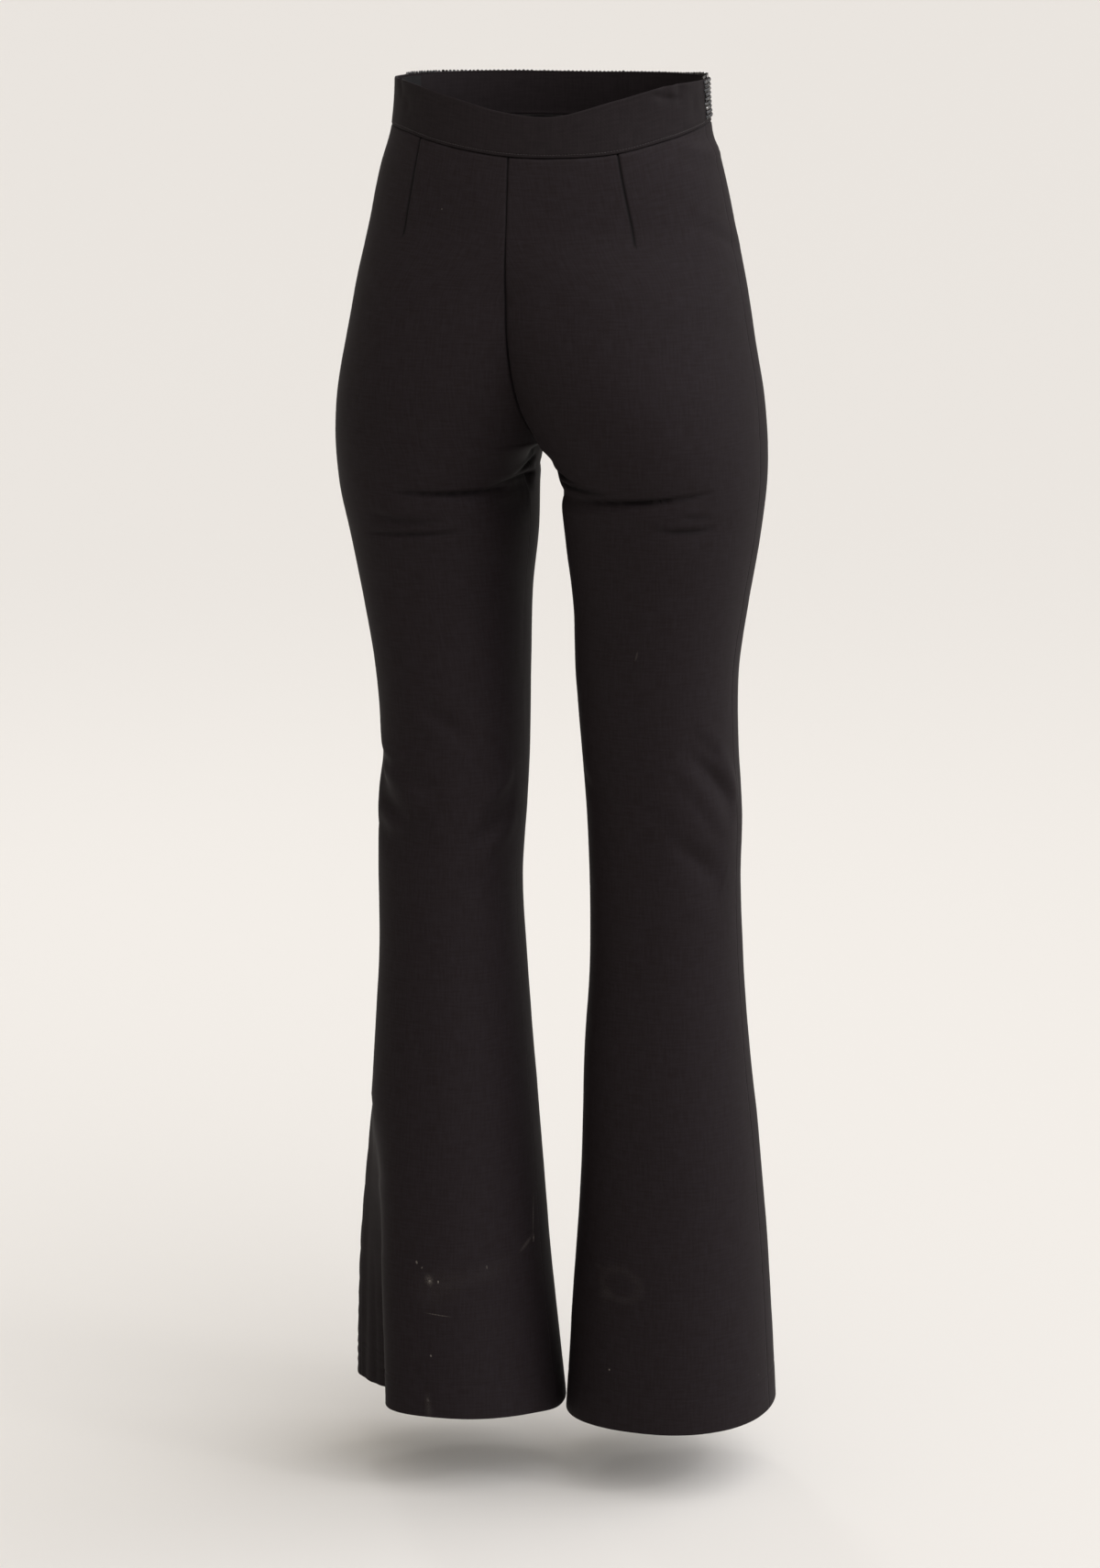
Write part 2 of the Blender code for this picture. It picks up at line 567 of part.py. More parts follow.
def zip_pull(frame, material, collection):
    """Teardrop pull: a flat outline whose eye hangs in the slider's arch."""
    eye_centre = PULL_EYE - PULL_BAR
    drop_centre = PULL_LENGTH - PULL_BAR - PULL_DROP
    lean = math.degrees(math.acos((PULL_DROP - PULL_EYE) / (drop_centre - eye_centre)))
    outline = arc(drop_centre, PULL_DROP, -180 + lean, 180 - lean, 18)
    outline += arc(eye_centre, PULL_EYE, 180 - lean, 180 + lean, 14)
    eye = arc(EYE_START + EYE_RADIUS, EYE_RADIUS, 90, 270, 8)
    eye += arc(EYE_END - EYE_RADIUS, EYE_RADIUS, -90, 90, 8)
    drop_hole = arc(drop_centre, DROP_HOLE, 0, 360 - 22.5, 15)
    flat = bpy.data.curves.new("zip_pull", "CURVE")
    flat.dimensions = "2D"
    flat.fill_mode = "BOTH"
    flat.extrude = PULL_THICKNESS / 2 * MM
    for ring in (outline, eye, drop_hole):
        spline = flat.splines.new("POLY")
        spline.points.add(len(ring) - 1)
        for point, (along, across) in zip(spline.points, ring):
            point.co = (along * MM, across * MM, 0.0, 1.0)
        spline.use_cyclic_u = True
    shape = bpy.data.objects.new("pull_outline", flat)
    collection.objects.link(shape)
    bpy.context.view_layer.update()
    evaluated = shape.evaluated_get(bpy.context.evaluated_depsgraph_get())
    mesh = bpy.data.meshes.new_from_object(evaluated)
    bpy.data.objects.remove(shape, do_unlink=True)
    work = bmesh.new()
    work.from_mesh(mesh)
    bmesh.ops.remove_doubles(work, verts=work.verts, dist=0.01 * MM)
    bmesh.ops.recalc_face_normals(work, faces=work.faces)
    work.to_mesh(mesh)
    work.free()
    pull = add_object("zip_pull", mesh, material, collection)
    # the outline's X points down the cloth and its Z out of it; the origin is the axis
    hang = Matrix(((0, 0, 1, 0), (0, 1, 0, 0), (-1, 0, 0, 0), (0, 0, 0, 1)))
    axis = Vector((SLIDER[0] + CROWN_CLEAR / 2, 0, PIVOT_UP))
    pull.matrix_world = frame @ Matrix.Translation(axis * MM) @ hang
    return pull


def main():
    clear_scene()
    garment = new_collection("flared_trousers")
    cutters = new_collection("cutters")
    suiting = finish("black_suiting", (0.018, 0.016, 0.017), 0.62)
    band_cloth = finish("waistband_suiting", (0.019, 0.017, 0.018), 0.62)
    stones = finish("black_stones", (0.03, 0.03, 0.033), 0.2, 0.3)
    tape = finish("zip_tape", (0.015, 0.015, 0.016), 0.8)
    black_metal = finish("lacquered_zip_metal", (0.02, 0.02, 0.022), 0.35, 0.6)
    for side in (LEFT, RIGHT):
        for half in (BACK, FRONT):
            leg_panel(side, half, suiting, garment)
    waistband(BACK, band_cloth, garment)
    waistband(FRONT, band_cloth, garment)
    bead_bed(stones, garment)
    zip_tape(tape, garment)
    slider_height = float(waistline("top", 0.0)) - SLIDER_FROM_TOP
    frame = side_frame(slider_height)
    zip_slider(frame, black_metal, garment, cutters)
    zip_pull(frame, black_metal, garment)


main()
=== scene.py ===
# %% [markdown]
# # Flared trousers
# High-waisted flared trousers in near-black stretch suiting, with rows of black stones
# round the front of the waistband. They are shown as they hang on a general figure.
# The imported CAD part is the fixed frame: each cloth piece below is laid on its solid.

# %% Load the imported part
import math
import random

import bmesh
import bpy
import numpy as np
from mathutils import Matrix, Vector, noise


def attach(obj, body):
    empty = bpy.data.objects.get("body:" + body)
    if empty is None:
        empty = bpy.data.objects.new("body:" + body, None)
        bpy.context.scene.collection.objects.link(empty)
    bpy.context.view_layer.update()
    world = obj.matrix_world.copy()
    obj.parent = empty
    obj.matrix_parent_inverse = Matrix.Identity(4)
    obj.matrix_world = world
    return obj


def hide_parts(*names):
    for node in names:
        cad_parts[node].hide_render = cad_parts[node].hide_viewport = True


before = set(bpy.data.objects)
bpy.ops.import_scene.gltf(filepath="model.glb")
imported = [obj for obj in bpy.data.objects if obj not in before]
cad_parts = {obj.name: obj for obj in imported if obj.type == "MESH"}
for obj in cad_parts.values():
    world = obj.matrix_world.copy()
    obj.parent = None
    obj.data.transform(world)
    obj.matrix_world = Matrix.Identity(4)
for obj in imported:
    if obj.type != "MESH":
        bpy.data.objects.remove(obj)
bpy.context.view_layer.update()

# %% [markdown]
# ## Camera
# The picture was taken from behind the wearer, turned 20 degrees, at about waist height
# and tilted down. The camera is set first, so that each piece can be judged in its view.
# A long lens a few metres away keeps both legs nearly parallel, as in the picture.

# %% Camera
MM = 0.001
PIXELS_HIGH = 1710
FOCAL_PIXELS = 4538.0
WAIST_RIGHT_OF_CENTRE = 1.5      # pixels
SENSOR = 36.0
azimuth = math.radians(200)
tilt = math.radians(11.64)
distance, height = 3.4, 0.16

lens = bpy.data.cameras.new("camera")
lens.sensor_width = SENSOR
lens.lens = FOCAL_PIXELS * SENSOR / PIXELS_HIGH
lens.clip_end = 400
camera = bpy.data.objects.new("camera", lens)
bpy.context.scene.collection.objects.link(camera)
bpy.context.scene.camera = camera
towards = Vector((-math.sin(azimuth) * math.cos(tilt), math.cos(azimuth) * math.cos(tilt),
                  -math.sin(tilt)))
to_the_right = towards.cross(Vector((0, 0, 1))).normalized()
aim = towards - to_the_right * WAIST_RIGHT_OF_CENTRE / FOCAL_PIXELS
camera.location = (distance * math.sin(azimuth), -distance * math.cos(azimuth), height)
camera.rotation_euler = aim.to_track_quat("-Z", "Y").to_euler()
print("camera at", [round(x, 3) for x in camera.location], "lens", round(lens.lens, 1), "mm")

# %% [markdown]
# ## Colours and nodes
# Colours are written as the sRGB hex values that a colour picker shows. Shaders work in
# linear light, so one function converts them. A second small function adds a shader node
# together with its settings and links, which keeps every material short enough to read.
# A last one turns a finished bmesh into a piece of the scene.


# %% Helpers for materials and pieces
def colour(hex_value):
    """sRGB hex, such as 2b2728, as linear red, green, blue and alpha."""
    parts = [int(hex_value[k:k + 2], 16) / 255 for k in (0, 2, 4)]
    linear = [p / 12.92 if p <= 0.04045 else ((p + 0.055) / 1.055) ** 2.4 for p in parts]
    return (*linear, 1.0)


def node(tree, kind, settings=(), links=()):
    """Add a node; settings are (name or socket, value), links are (socket, source)."""
    new = tree.nodes.new("ShaderNode" + kind)
    for name, value in settings:
        if isinstance(name, int) or name in new.inputs:
            new.inputs[name].default_value = value
        else:
            setattr(new, name, value)
    for name, source in links:
        tree.links.new(source, new.inputs[name])
    return new


def maths(tree, operation, first, second):
    """A math node of two values, the first a link and the second a link or a number."""
    if isinstance(second, (int, float)):
        made = node(tree, "Math", (("operation", operation), (1, second)), ((0, first),))
    else:
        made = node(tree, "Math", (("operation", operation),), ((0, first), (1, second)))
    return made.outputs["Value"]


def material(name, settings):
    """A new material and its tree and Principled shader, with plain values set."""
    made = bpy.data.materials.new(name)
    made.use_nodes = True
    tree = made.node_tree
    shader = tree.nodes["Principled BSDF"]
    for socket, value in settings:
        shader.inputs[socket].default_value = value
    return made, tree, shader


def piece_from(name, work, smooth=True):
    """A piece at the origin from a finished bmesh."""
    mesh = bpy.data.meshes.new(name)
    work.to_mesh(mesh)
    work.free()
    if smooth:
        mesh.shade_smooth()
    piece = bpy.data.objects.new(name, mesh)
    bpy.context.scene.collection.objects.link(piece)
    return piece


# %% [markdown]
# ## Floor and light
# The picture has a plain warm white studio, lit softly, with the stronger light above and
# to the right. A very large pale floor fills the frame behind the garment, because the
# camera looks down. The world is pale all round and brighter on the right, so the right
# edges of the legs catch light. A small lamp over the seat shines on the cloth alone, by
# light linking, so that it doesn't burn a patch into the floor. The Standard view
# transform keeps near-black cloth as dark as it is in the picture.

# %% Floor, world and lights
FLOOR_HEIGHT = -1.135
FLOOR_RADIUS = 150.0
DIMMEST, BRIGHTEST = 0.40, 2.6     # strength of the world, and of its bright side

disc = bmesh.new()
bmesh.ops.create_circle(disc, cap_ends=True, segments=96, radius=FLOOR_RADIUS,
                        matrix=Matrix.Translation((0, 0, FLOOR_HEIGHT)))
floor = piece_from("studio_floor", disc, smooth=False)
paper, *_ = material("painted_studio_floor", (
    ("Base Color", colour("e7e4de")), ("Roughness", 0.75), ("Specular IOR Level", 0.2)))
floor.data.materials.append(paper)

bpy.context.scene.view_settings.view_transform = "Standard"
world = bpy.data.worlds.new("studio")
world.use_nodes = True
bpy.context.scene.world = world
room = world.node_tree
sky = room.nodes["Background"]
bright_side = Vector((-0.88, 0.02, 0.50)).normalized()
where = node(room, "TexCoord").outputs["Generated"]
facing = node(room, "VectorMath", (("operation", "DOT_PRODUCT"), (1, bright_side)),
              ((0, where),))
strength = node(room, "MapRange", (
    ("interpolation_type", "SMOOTHSTEP"), ("From Min", 0.25), ("From Max", 1.0),
    ("To Min", DIMMEST), ("To Max", BRIGHTEST)), (("Value", facing.outputs["Value"]),))
room.links.new(strength.outputs["Result"], sky.inputs["Strength"])
coolness = node(room, "MapRange", (("From Min", DIMMEST), ("From Max", 2.2)),
                (("Value", strength.outputs["Result"]),))
cast = node(room, "Mix", (
    ("data_type", "RGBA"), (6, colour("fff8ee")), (7, colour("fafaff"))),
    ((0, coolness.outputs["Result"]),))
room.links.new(cast.outputs[2], sky.inputs["Color"])


def softbox(name, turn, lift, away, size, power, aimed_at=-0.5):
    """A square area light on a circle round the garment, facing a height of its axis."""
    data = bpy.data.lights.new(name, "AREA")
    data.shape = "SQUARE"
    data.size = size
    data.energy = power
    lamp = bpy.data.objects.new(name, data)
    lamp.visible_camera = False
    bpy.context.scene.collection.objects.link(lamp)
    turn, lift = math.radians(turn), math.radians(lift)
    middle = Vector((0, 0, aimed_at))
    back = Vector((math.sin(turn) * math.cos(lift), -math.cos(turn) * math.cos(lift),
                   math.sin(lift)))
    lamp.location = middle + back * away
    lamp.rotation_euler = (-back).to_track_quat("-Z", "Y").to_euler()
    return lamp


# degrees round from the front, degrees up, metres away, metres wide, watts
softbox("key_light", 262, 34, 3.4, 0.45, 9)
softbox("front_light", 36, 40, 3.6, 0.45, 8.5)
seat_light = softbox("seat_light", 205, 64, 0.85, 0.4, 5, -0.02)
lit_from_above = bpy.data.collections.new("lit_from_above")
seat_light.light_linking.receiver_collection = lit_from_above
print("floor at", FLOOR_HEIGHT, "m, three softboxes")

# %% [markdown]
# ## The shape of the cloth
# A tailor's stand is a stack of girths, and so is this: each leg is a rounded loop at
# every height, and above the crotch the two loops run together. The tables repeat the
# sizes of the CAD part, in millimetres, so that the visible cloth lies on its solids.

# %% Sizes of the body of the garment
LEFT, RIGHT = 1, -1
BACK, FRONT = 1, -1
BAND_PROUD = 0.4         # how far the waistband stands out of the leg panels
SEAM_GAP = 0.3
CROTCH = -251.0          # height of the crotch point
HEM = -1080.0
ROUNDNESS = 2.2          # exponent of the loops: 2 is an ellipse, more is squarer
LEG_RADIUS = 88.0        # turns angles into lengths along the cloth for the folds
CROTCH_ARCH = 1.5        # how fast the round arch between the legs opens at the inseam
SIDE_ARCH = {(LEFT, BACK): (30.0, 3), (LEFT, FRONT): (36.0, 1),
             (RIGHT, BACK): (36.0, 1), (RIGHT, FRONT): (36.0, 1)}  # size and sharpness
HOLLOW_FROM, HOLLOW_FULL = -60.0, -135.0   # where the two loops begin to show at the seat
DART_TOP_TO_TIP = 80.0
DART_FRACTION = 0.50     # line across a back panel that carries the dart
DART_OUT = {LEFT: (81.2, 93.6), RIGHT: (84.9, 100.8)}  # its two ends, from the centre
DIP_FADES_AT = -150.0    # height where the lines across have become level
HEM_FADES_AT = -980.0    # height from which they bend towards the hem
SPREAD_DONE_AT = -330.0
SEAM_CURVES = {BACK: (106.0, -139.0), FRONT: (103.0, -165.0)}
BACK_WIDTH, RISE_WIDTH = 150.0, 165.0      # a panel's width near the dart and the rise

HIP_COLUMNS = ("z", "outer", "inner", "centre", "back", "front")
HIPS = (
    (60.0, 128.5, 17.0, 0.0, 96.0, 94.0),
    (30.0, 128.5, 17.0, 0.0, 96.5, 94.0),
    (0.0, 132.0, 17.0, 0.0, 99.0, 96.0),
    (-30.0, 141.5, 17.0, 0.0, 102.0, 99.0),
    (-75.0, 151.5, 17.0, 0.0, 106.0, 103.0),
    (-120.0, 160.5, 17.0, 0.0, 111.0, 105.0),
    (-165.0, 168.5, 17.0, 0.0, 115.5, 104.5),
    (-205.0, 175.5, 17.0, 0.0, 116.0, 102.0),
    (-240.0, 178.5, 17.0, 0.0, 111.0, 98.5),
)
LEFT_LEG = (
    (-285.0, 177.5, 18.5, 0.0, 99.0, 94.0),
    (-330.0, 169.0, 19.5, -1.0, 90.0, 87.0),
    (-380.0, 159.5, 24.0, -1.0, 81.0, 80.0),
    (-440.0, 149.5, 24.5, 1.0, 73.0, 74.0),
    (-500.0, 144.5, 23.5, 4.0, 67.0, 69.0),
    (-560.0, 146.5, 24.5, 7.0, 64.0, 66.0),
    (-620.0, 146.0, 28.0, 9.0, 63.5, 65.0),
    (-680.0, 144.5, 25.0, 11.0, 66.0, 67.0),
    (-760.0, 147.5, 18.0, 14.0, 72.0, 72.5),
    (-860.0, 152.5, 9.0, 18.0, 80.0, 81.0),
    (-960.0, 158.0, -0.5, 22.0, 87.0, 89.0),
    (-1080.0, 161.0, -15.0, 26.0, 93.0, 96.0),
)
RIGHT_LEG = (
    (-285.0, 179.0, 17.0, 0.0, 99.0, 94.0),
    (-330.0, 173.5, 20.0, -2.0, 90.0, 87.0),
    (-380.0, 164.5, 25.0, -4.0, 81.0, 80.0),
    (-440.0, 155.5, 25.5, -7.0, 73.0, 74.0),
    (-500.0, 155.5, 28.5, -10.0, 67.0, 69.0),
    (-560.0, 158.5, 32.0, -13.0, 64.0, 66.0),
    (-620.0, 157.5, 34.0, -15.0, 63.5, 65.0),
    (-680.0, 159.0, 34.0, -17.0, 66.0, 67.0),
    (-760.0, 164.5, 29.0, -19.0, 72.0, 72.5),
    (-860.0, 174.5, 26.5, -21.0, 80.0, 81.0),
    (-960.0, 182.0, 20.0, -23.0, 87.0, 89.0),
    (-1080.0, 188.5, 12.0, -26.0, 93.0, 95.0),
)
WAIST_COLUMNS = ("angle", "top", "seam")
WAISTLINE = (
    (0.0, 42.0, 6.5), (32.0, 39.5, 1.5), (60.0, 28.5, -9.5), (88.0, 17.0, -16.5),
    (112.0, 14.5, -17.5), (136.0, 26.5, -14.0), (156.0, 37.0, -4.0), (180.0, 41.0, 6.0),
    (225.0, 43.5, 7.0), (270.0, 43.0, 6.5), (315.0, 43.5, 7.0),
)
HEM_COLUMNS = ("angle", "left", "right")
HEMLINE = (
    (0.0, -1071.0, -1074.0), (60.0, -1066.0, -1075.0), (110.0, -1065.0, -1076.0),
    (150.0, -1069.0, -1079.0), (185.0, -1078.0, -1079.0), (230.0, -1077.0, -1074.0),
    (280.0, -1067.0, -1069.0), (330.0, -1070.0, -1072.0),
)


# %% Reading the tables
def curve_through(keys, values, at):
    """Smooth curve through a few points, read at any key (cubic Hermite)."""
    keys = np.asarray(keys, float)
    values = np.asarray(values, float)
    order = np.argsort(keys)
    keys = keys[order]
    values = values[order]
    slopes = np.gradient(values, keys)
    at = np.clip(np.asarray(at, float), keys[0], keys[-1])
    i = np.clip(np.searchsorted(keys, at) - 1, 0, len(keys) - 2)
    span = keys[i + 1] - keys[i]
    t = (at - keys[i]) / span
    start = values[i] * (1 + 2 * t) * (1 - t) ** 2 + slopes[i] * span * t * (1 - t) ** 2
    end = values[i + 1] * t * t * (3 - 2 * t) + slopes[i + 1] * span * t * t * (t - 1)
    return start + end


def column(rows, names, name):
    place = names.index(name)
    return [row[place] for row in rows]


def body(side, name, z):
    rows = HIPS + (LEFT_LEG if side == LEFT else RIGHT_LEG)
    return curve_through(column(rows, HIP_COLUMNS, "z"), column(rows, HIP_COLUMNS, name), z)


def read_round(rows, names, name, angle):
    """A column of a table that goes once round, read at any angle."""
    angles = np.array(column(rows, names, "angle"))
    heights = np.array(column(rows, names, name))
    angles = np.concatenate([angles - 360, angles, angles + 360])
    return curve_through(angles, np.tile(heights, 3), np.asarray(angle) % 360)


def waistline(name, angle):
    return read_round(WAISTLINE, WAIST_COLUMNS, name, angle)


def hemline(side, angle):
    return read_round(HEMLINE, HEM_COLUMNS, "left" if side == LEFT else "right", angle)


def eased(share):
    share = np.clip(share, 0, 1)
    return share * share * (3 - 2 * share)


print("waist seam dips to", round(float(waistline("seam", 100)), 1), "mm at the back")

# %% [markdown]
# ## Folds and creases
# Cloth that is pulled tight over the seat and bent at the knee makes folds that start and
# end in known places. Each row below is one fold: three points on the leg as angle,
# height and depth, and its width. The first table holds the large forms, which the CAD
# solids have too, and the second the finer creases. A crease is a valley
# with a low ridge on one side, which is how a real one catches the light.

# %% Tables of folds and creases
# leg, start, middle, end, width; a point is (angle, height, depth), negative is a ridge
FOLDS = (
    (LEFT, (80, -287, 0), (130, -288, 4), (180, -285, 4), 7.5),
    (LEFT, (136, -299, 0), (158, -301, 3), (180, -300, 0), 11.0),
    (RIGHT, (44, -280, 0), (96, -288, 4), (156, -287, 3), 7.5),
    (LEFT, (60, -310, 0), (92, -312, 1.2), (128, -308, 0), 9.0),
    (RIGHT, (28, -306, 0), (60, -311, 1.2), (96, -308, 0), 9.0),
    (LEFT, (26, -520, 4), (46, -542, 4), (82, -566, 0), 13.0),
    (LEFT, (34, -566, 0), (62, -586, 4), (100, -572, 0), 14.0),
    (LEFT, (40, -512, 0), (88, -494, 3), (122, -500, 0), 16.0),
    (RIGHT, (60, -492, 0), (30, -520, 3.5), (8, -560, 0), 13.0),
    (RIGHT, (30, -500, 0), (14, -520, -3), (-4, -545, 0), 12.0),
    (RIGHT, (66, -572, 0), (40, -596, 3.5), (22, -612, 0), 14.0),
    (LEFT, (-150, -232, 0), (-112, -212, 4), (-66, -176, 0), 12.0),
    (RIGHT, (-150, -232, 0), (-108, -208, 4), (-60, -170, 0), 12.0),
    (LEFT, (-165, -262, 0), (-120, -252, 3), (-76, -232, 0), 10.0),
    (RIGHT, (-165, -262, 0), (-124, -256, 3), (-84, -240, 0), 10.0),
    (LEFT, (-70, -520, 0), (-104, -538, 3), (-140, -528, 0), 15.0),
    (RIGHT, (-58, -548, 0), (-92, -566, 3), (-132, -560, 0), 15.0),
    (LEFT, (38, -810, 0), (36, -958, 22), (35, -1105, 40), 36.0),
    (LEFT, (-2, -770, -2), (-7, -930, -14), (-10, -1105, -16), 20.0),
    (LEFT, (-112, -800, 0), (-116, -950, 4), (-120, -1110, 8), 20.0),
    (RIGHT, (-40, -820, 0), (-42, -960, 4), (-44, -1110, 8), 18.0),
    (RIGHT, (-122, -840, 0), (-126, -970, 4), (-130, -1110, 7), 20.0),
)
CREASES = (
    # under the seat
    (LEFT, (154, -287, 0), (119, -288.5, 4.2), (84, -287, 0), 1.9),
    (LEFT, (186, -281, 3.0), (160, -281.5, 3.2), (136, -285, 0), 2.4),
    (LEFT, (186, -268, 2.6), (171, -274, 2.8), (155, -278, 0), 2.4),
    (LEFT, (112, -311, 0), (88, -311.5, 1.9), (68, -305, 0), 3.6),
    (LEFT, (124, -320, 0), (94, -322.5, 2.8), (64, -323.5, 0), 2.3),
    (RIGHT, (122, -289, 0), (84, -287, 4.4), (44, -279.5, 0), 1.9),
    (RIGHT, (136, -279, 4.4), (114, -280.5, 4.0), (96, -283, 0), 2.8),
    (RIGHT, (142, -270, 4.0), (126, -272.5, 3.6), (111, -276, 0), 2.6),
    (RIGHT, (78, -309, 0), (60, -311, 2.8), (42, -309.5, 0), 2.3),
    (RIGHT, (64, -299, 0), (54, -300, 1.3), (45, -300.5, 0), 2.8),
    # right hip, beside the side seam
    (RIGHT, (16, -10, -1.0), (4, -16, -2.4), (-10, -15, -1.4), 6.5),
    (RIGHT, (24, -66, 0), (9, -80, 1.2), (-6, -95, 1.0), 5.0),
    # hollow of the left knee
    (LEFT, (18, -503, 0), (39, -517, 2.6), (62, -521, 0), 5.5),
    (LEFT, (28, -546, 0), (50, -554, 2.2), (76, -562, 0), 7.0),
    (LEFT, (82, -462, 0), (103, -480, 2.4), (128, -498, 0), 9.0),
    (LEFT, (56, -517, 0), (78, -529, 2.2), (100, -538, 0), 7.5),
    (LEFT, (54, -584, 0), (84, -567, 2.2), (112, -548, 0), 7.0),
    (LEFT, (124, -584, 0), (146, -570, 3.0), (168, -552, 0), 9.0),
    (LEFT, (128, -552, 0), (146, -540, -2.4), (164, -524, 0), 9.0),
    (LEFT, (10, -560, 0), (22, -572, 1.0), (30, -590, 0), 6.0),
    # hollow of the right knee
    (RIGHT, (52, -476, 0), (33, -497, 1.3), (14, -516, 0), 7.0),
    (RIGHT, (50, -502, 0), (30, -520, 1.4), (6, -549, 0), 6.0),
    (RIGHT, (66, -520, 0), (46, -545, 1.1), (22, -583, 0), 8.0),
    (RIGHT, (74, -563, 0), (54, -581, 1.1), (32, -598, 0), 7.0),
    (RIGHT, (96, -541, 0), (78, -552, 0.8), (60, -556, 0), 8.0),
    (RIGHT, (16, -613, 0), (33, -622, 0.8), (56, -619, 0), 7.0),
    (RIGHT, (152, -518, 0), (134, -534, 1.0), (110, -541, 0), 8.0),
    # crotch and thighs, in front
    (LEFT, (-170, -258, 0.8), (-122, -243, 1.5), (-72, -206, 0), 3.8),
    (LEFT, (-160, -240, 0), (-112, -219, 1.3), (-62, -180, 0), 3.8),
    (LEFT, (-168, -276, 0.8), (-130, -276, 1.1), (-96, -266, 0), 3.8),
    (LEFT, (-132, -188, 0), (-98, -170, 0.7), (-70, -146, 0), 4.6),
    (RIGHT, (-170, -259, 0.8), (-120, -246, 1.4), (-66, -214, 0), 3.8),
    (RIGHT, (-158, -236, 0), (-110, -213, 1.4), (-56, -170, 0), 4.0),
    (RIGHT, (-166, -279, 0.8), (-134, -281, 1.0), (-104, -274, 0), 3.8),
    # knees, in front
    (LEFT, (-64, -515, 0), (-98, -531, 1.5), (-140, -522, 0), 6.5),
    (LEFT, (-80, -549, 0), (-104, -556, 0.8), (-130, -549, 0), 4.6),
    (LEFT, (-150, -575, 0), (-128, -585, 0.9), (-100, -584, 0), 5.0),
    (RIGHT, (-56, -545, 0), (-88, -561, 1.6), (-128, -556, 0), 6.5),
    (RIGHT, (-72, -584, 0), (-98, -592, 0.8), (-122, -586, 0), 4.6),
    (RIGHT, (-140, -515, 0), (-118, -527, 0.8), (-92, -528, 0), 5.0),
    # strip of the left flare in front of its side fold
    (LEFT, (7, -900, 0), (4, -1010, 1.9), (2, -1105, 2.3), 3.4),
    (LEFT, (15, -940, 0), (13, -1035, 1.5), (12, -1105, 2.0), 3.0),
    # waistband: small tucks and wrinkles
    (RIGHT, (24.0, 46, 1.0), (24.2, 35, 1.7), (25.5, 22, 0), 2.6),
    (RIGHT, (16.3, 46, 1.1), (16.6, 34, 1.8), (17.4, 20, 0), 2.6),
    (RIGHT, (31, 33, 0), (23, 28, 1.4), (15, 28, 0), 2.6),
    (RIGHT, (20.5, 41, 0), (20.5, 33, -0.9), (21, 24, 0), 2.8),
    (RIGHT, (9.0, 34, 0), (8.6, 22, 0.8), (9.4, 9, 0), 3.4),
    (LEFT, (26.5, 44, 0.6), (28, 36, 1.0), (30.5, 25, 0), 2.6),
    (LEFT, (33, 29, 0), (35, 21, 0.8), (36, 13, 0), 2.8),
    (LEFT, (10, 40, 0), (12, 26, 0.5), (11, 12, 0), 3.4),
)


def through_three(start, middle, end, t):
    """Parabola that passes start, middle and end at t = 0, 0.5 and 1."""
    return start * (1 - t) * (1 - 2 * t) + 4 * middle * t * (1 - t) + end * t * (2 * t - 1)


SHARP_BELOW = 4.0      # creases narrower than this get a sharp bottom
SHARPNESS = 0.72       # 1 is a round bottom, 0.5 a sharp one
NARROW_LIP = 0.55      # and a lower lip beside it
LIP_AWAY, LIP_WIDTH = 1.7, 1.3    # the lip's place and width, in widths of its crease


def push_of(rows, side, angle, z, ridge=0.0):
    """How far a table of folds pushes the cloth out; ridge is the share of its low ridge."""
    push = np.zeros_like(z)
    t = np.linspace(0, 1, 41)
    mm_per_degree = math.radians(LEG_RADIUS)
    for leg, start, middle, end, width in rows:
        if leg != side:
            continue
        path_angle, path_z, path_depth = (
            through_three(start[k], middle[k], end[k], t) for k in range(3))
        reach = 4 * width + 12
        near = (z > path_z.min() - reach) & (z < path_z.max() + reach)
        if not near.any():
            continue
        turn = (angle[near][:, None] - path_angle + 180) % 360 - 180
        across = turn * mm_per_degree
        along = z[near][:, None] - path_z
        apart = across ** 2 + along ** 2
        nearest = np.argmin(apart, axis=-1)
        rows_here = np.arange(len(nearest))
        closest = apart[rows_here, nearest]
        depth = path_depth[nearest]
        bottom = SHARPNESS if width < SHARP_BELOW else 1.0
        valley = depth * np.exp(-(closest / width ** 2) ** bottom)
        if ridge:
            run = np.gradient(path_angle) * mm_per_degree
            rise = np.gradient(path_z)
            length = np.hypot(run, rise)[nearest]
            signed = (across[rows_here, nearest] * rise[nearest]
                      - along[rows_here, nearest] * run[nearest]) / length
            beyond = closest - signed ** 2
            beside = (signed - LIP_AWAY * width) ** 2 + beyond
            lip = ridge * (NARROW_LIP if width < SHARP_BELOW else 1.0)
            valley = valley - lip * depth * np.exp(-beside / (LIP_WIDTH * width) ** 2)
        push[near] -= valley
    return push


print(len(FOLDS), "large folds and", len(CREASES), "creases")
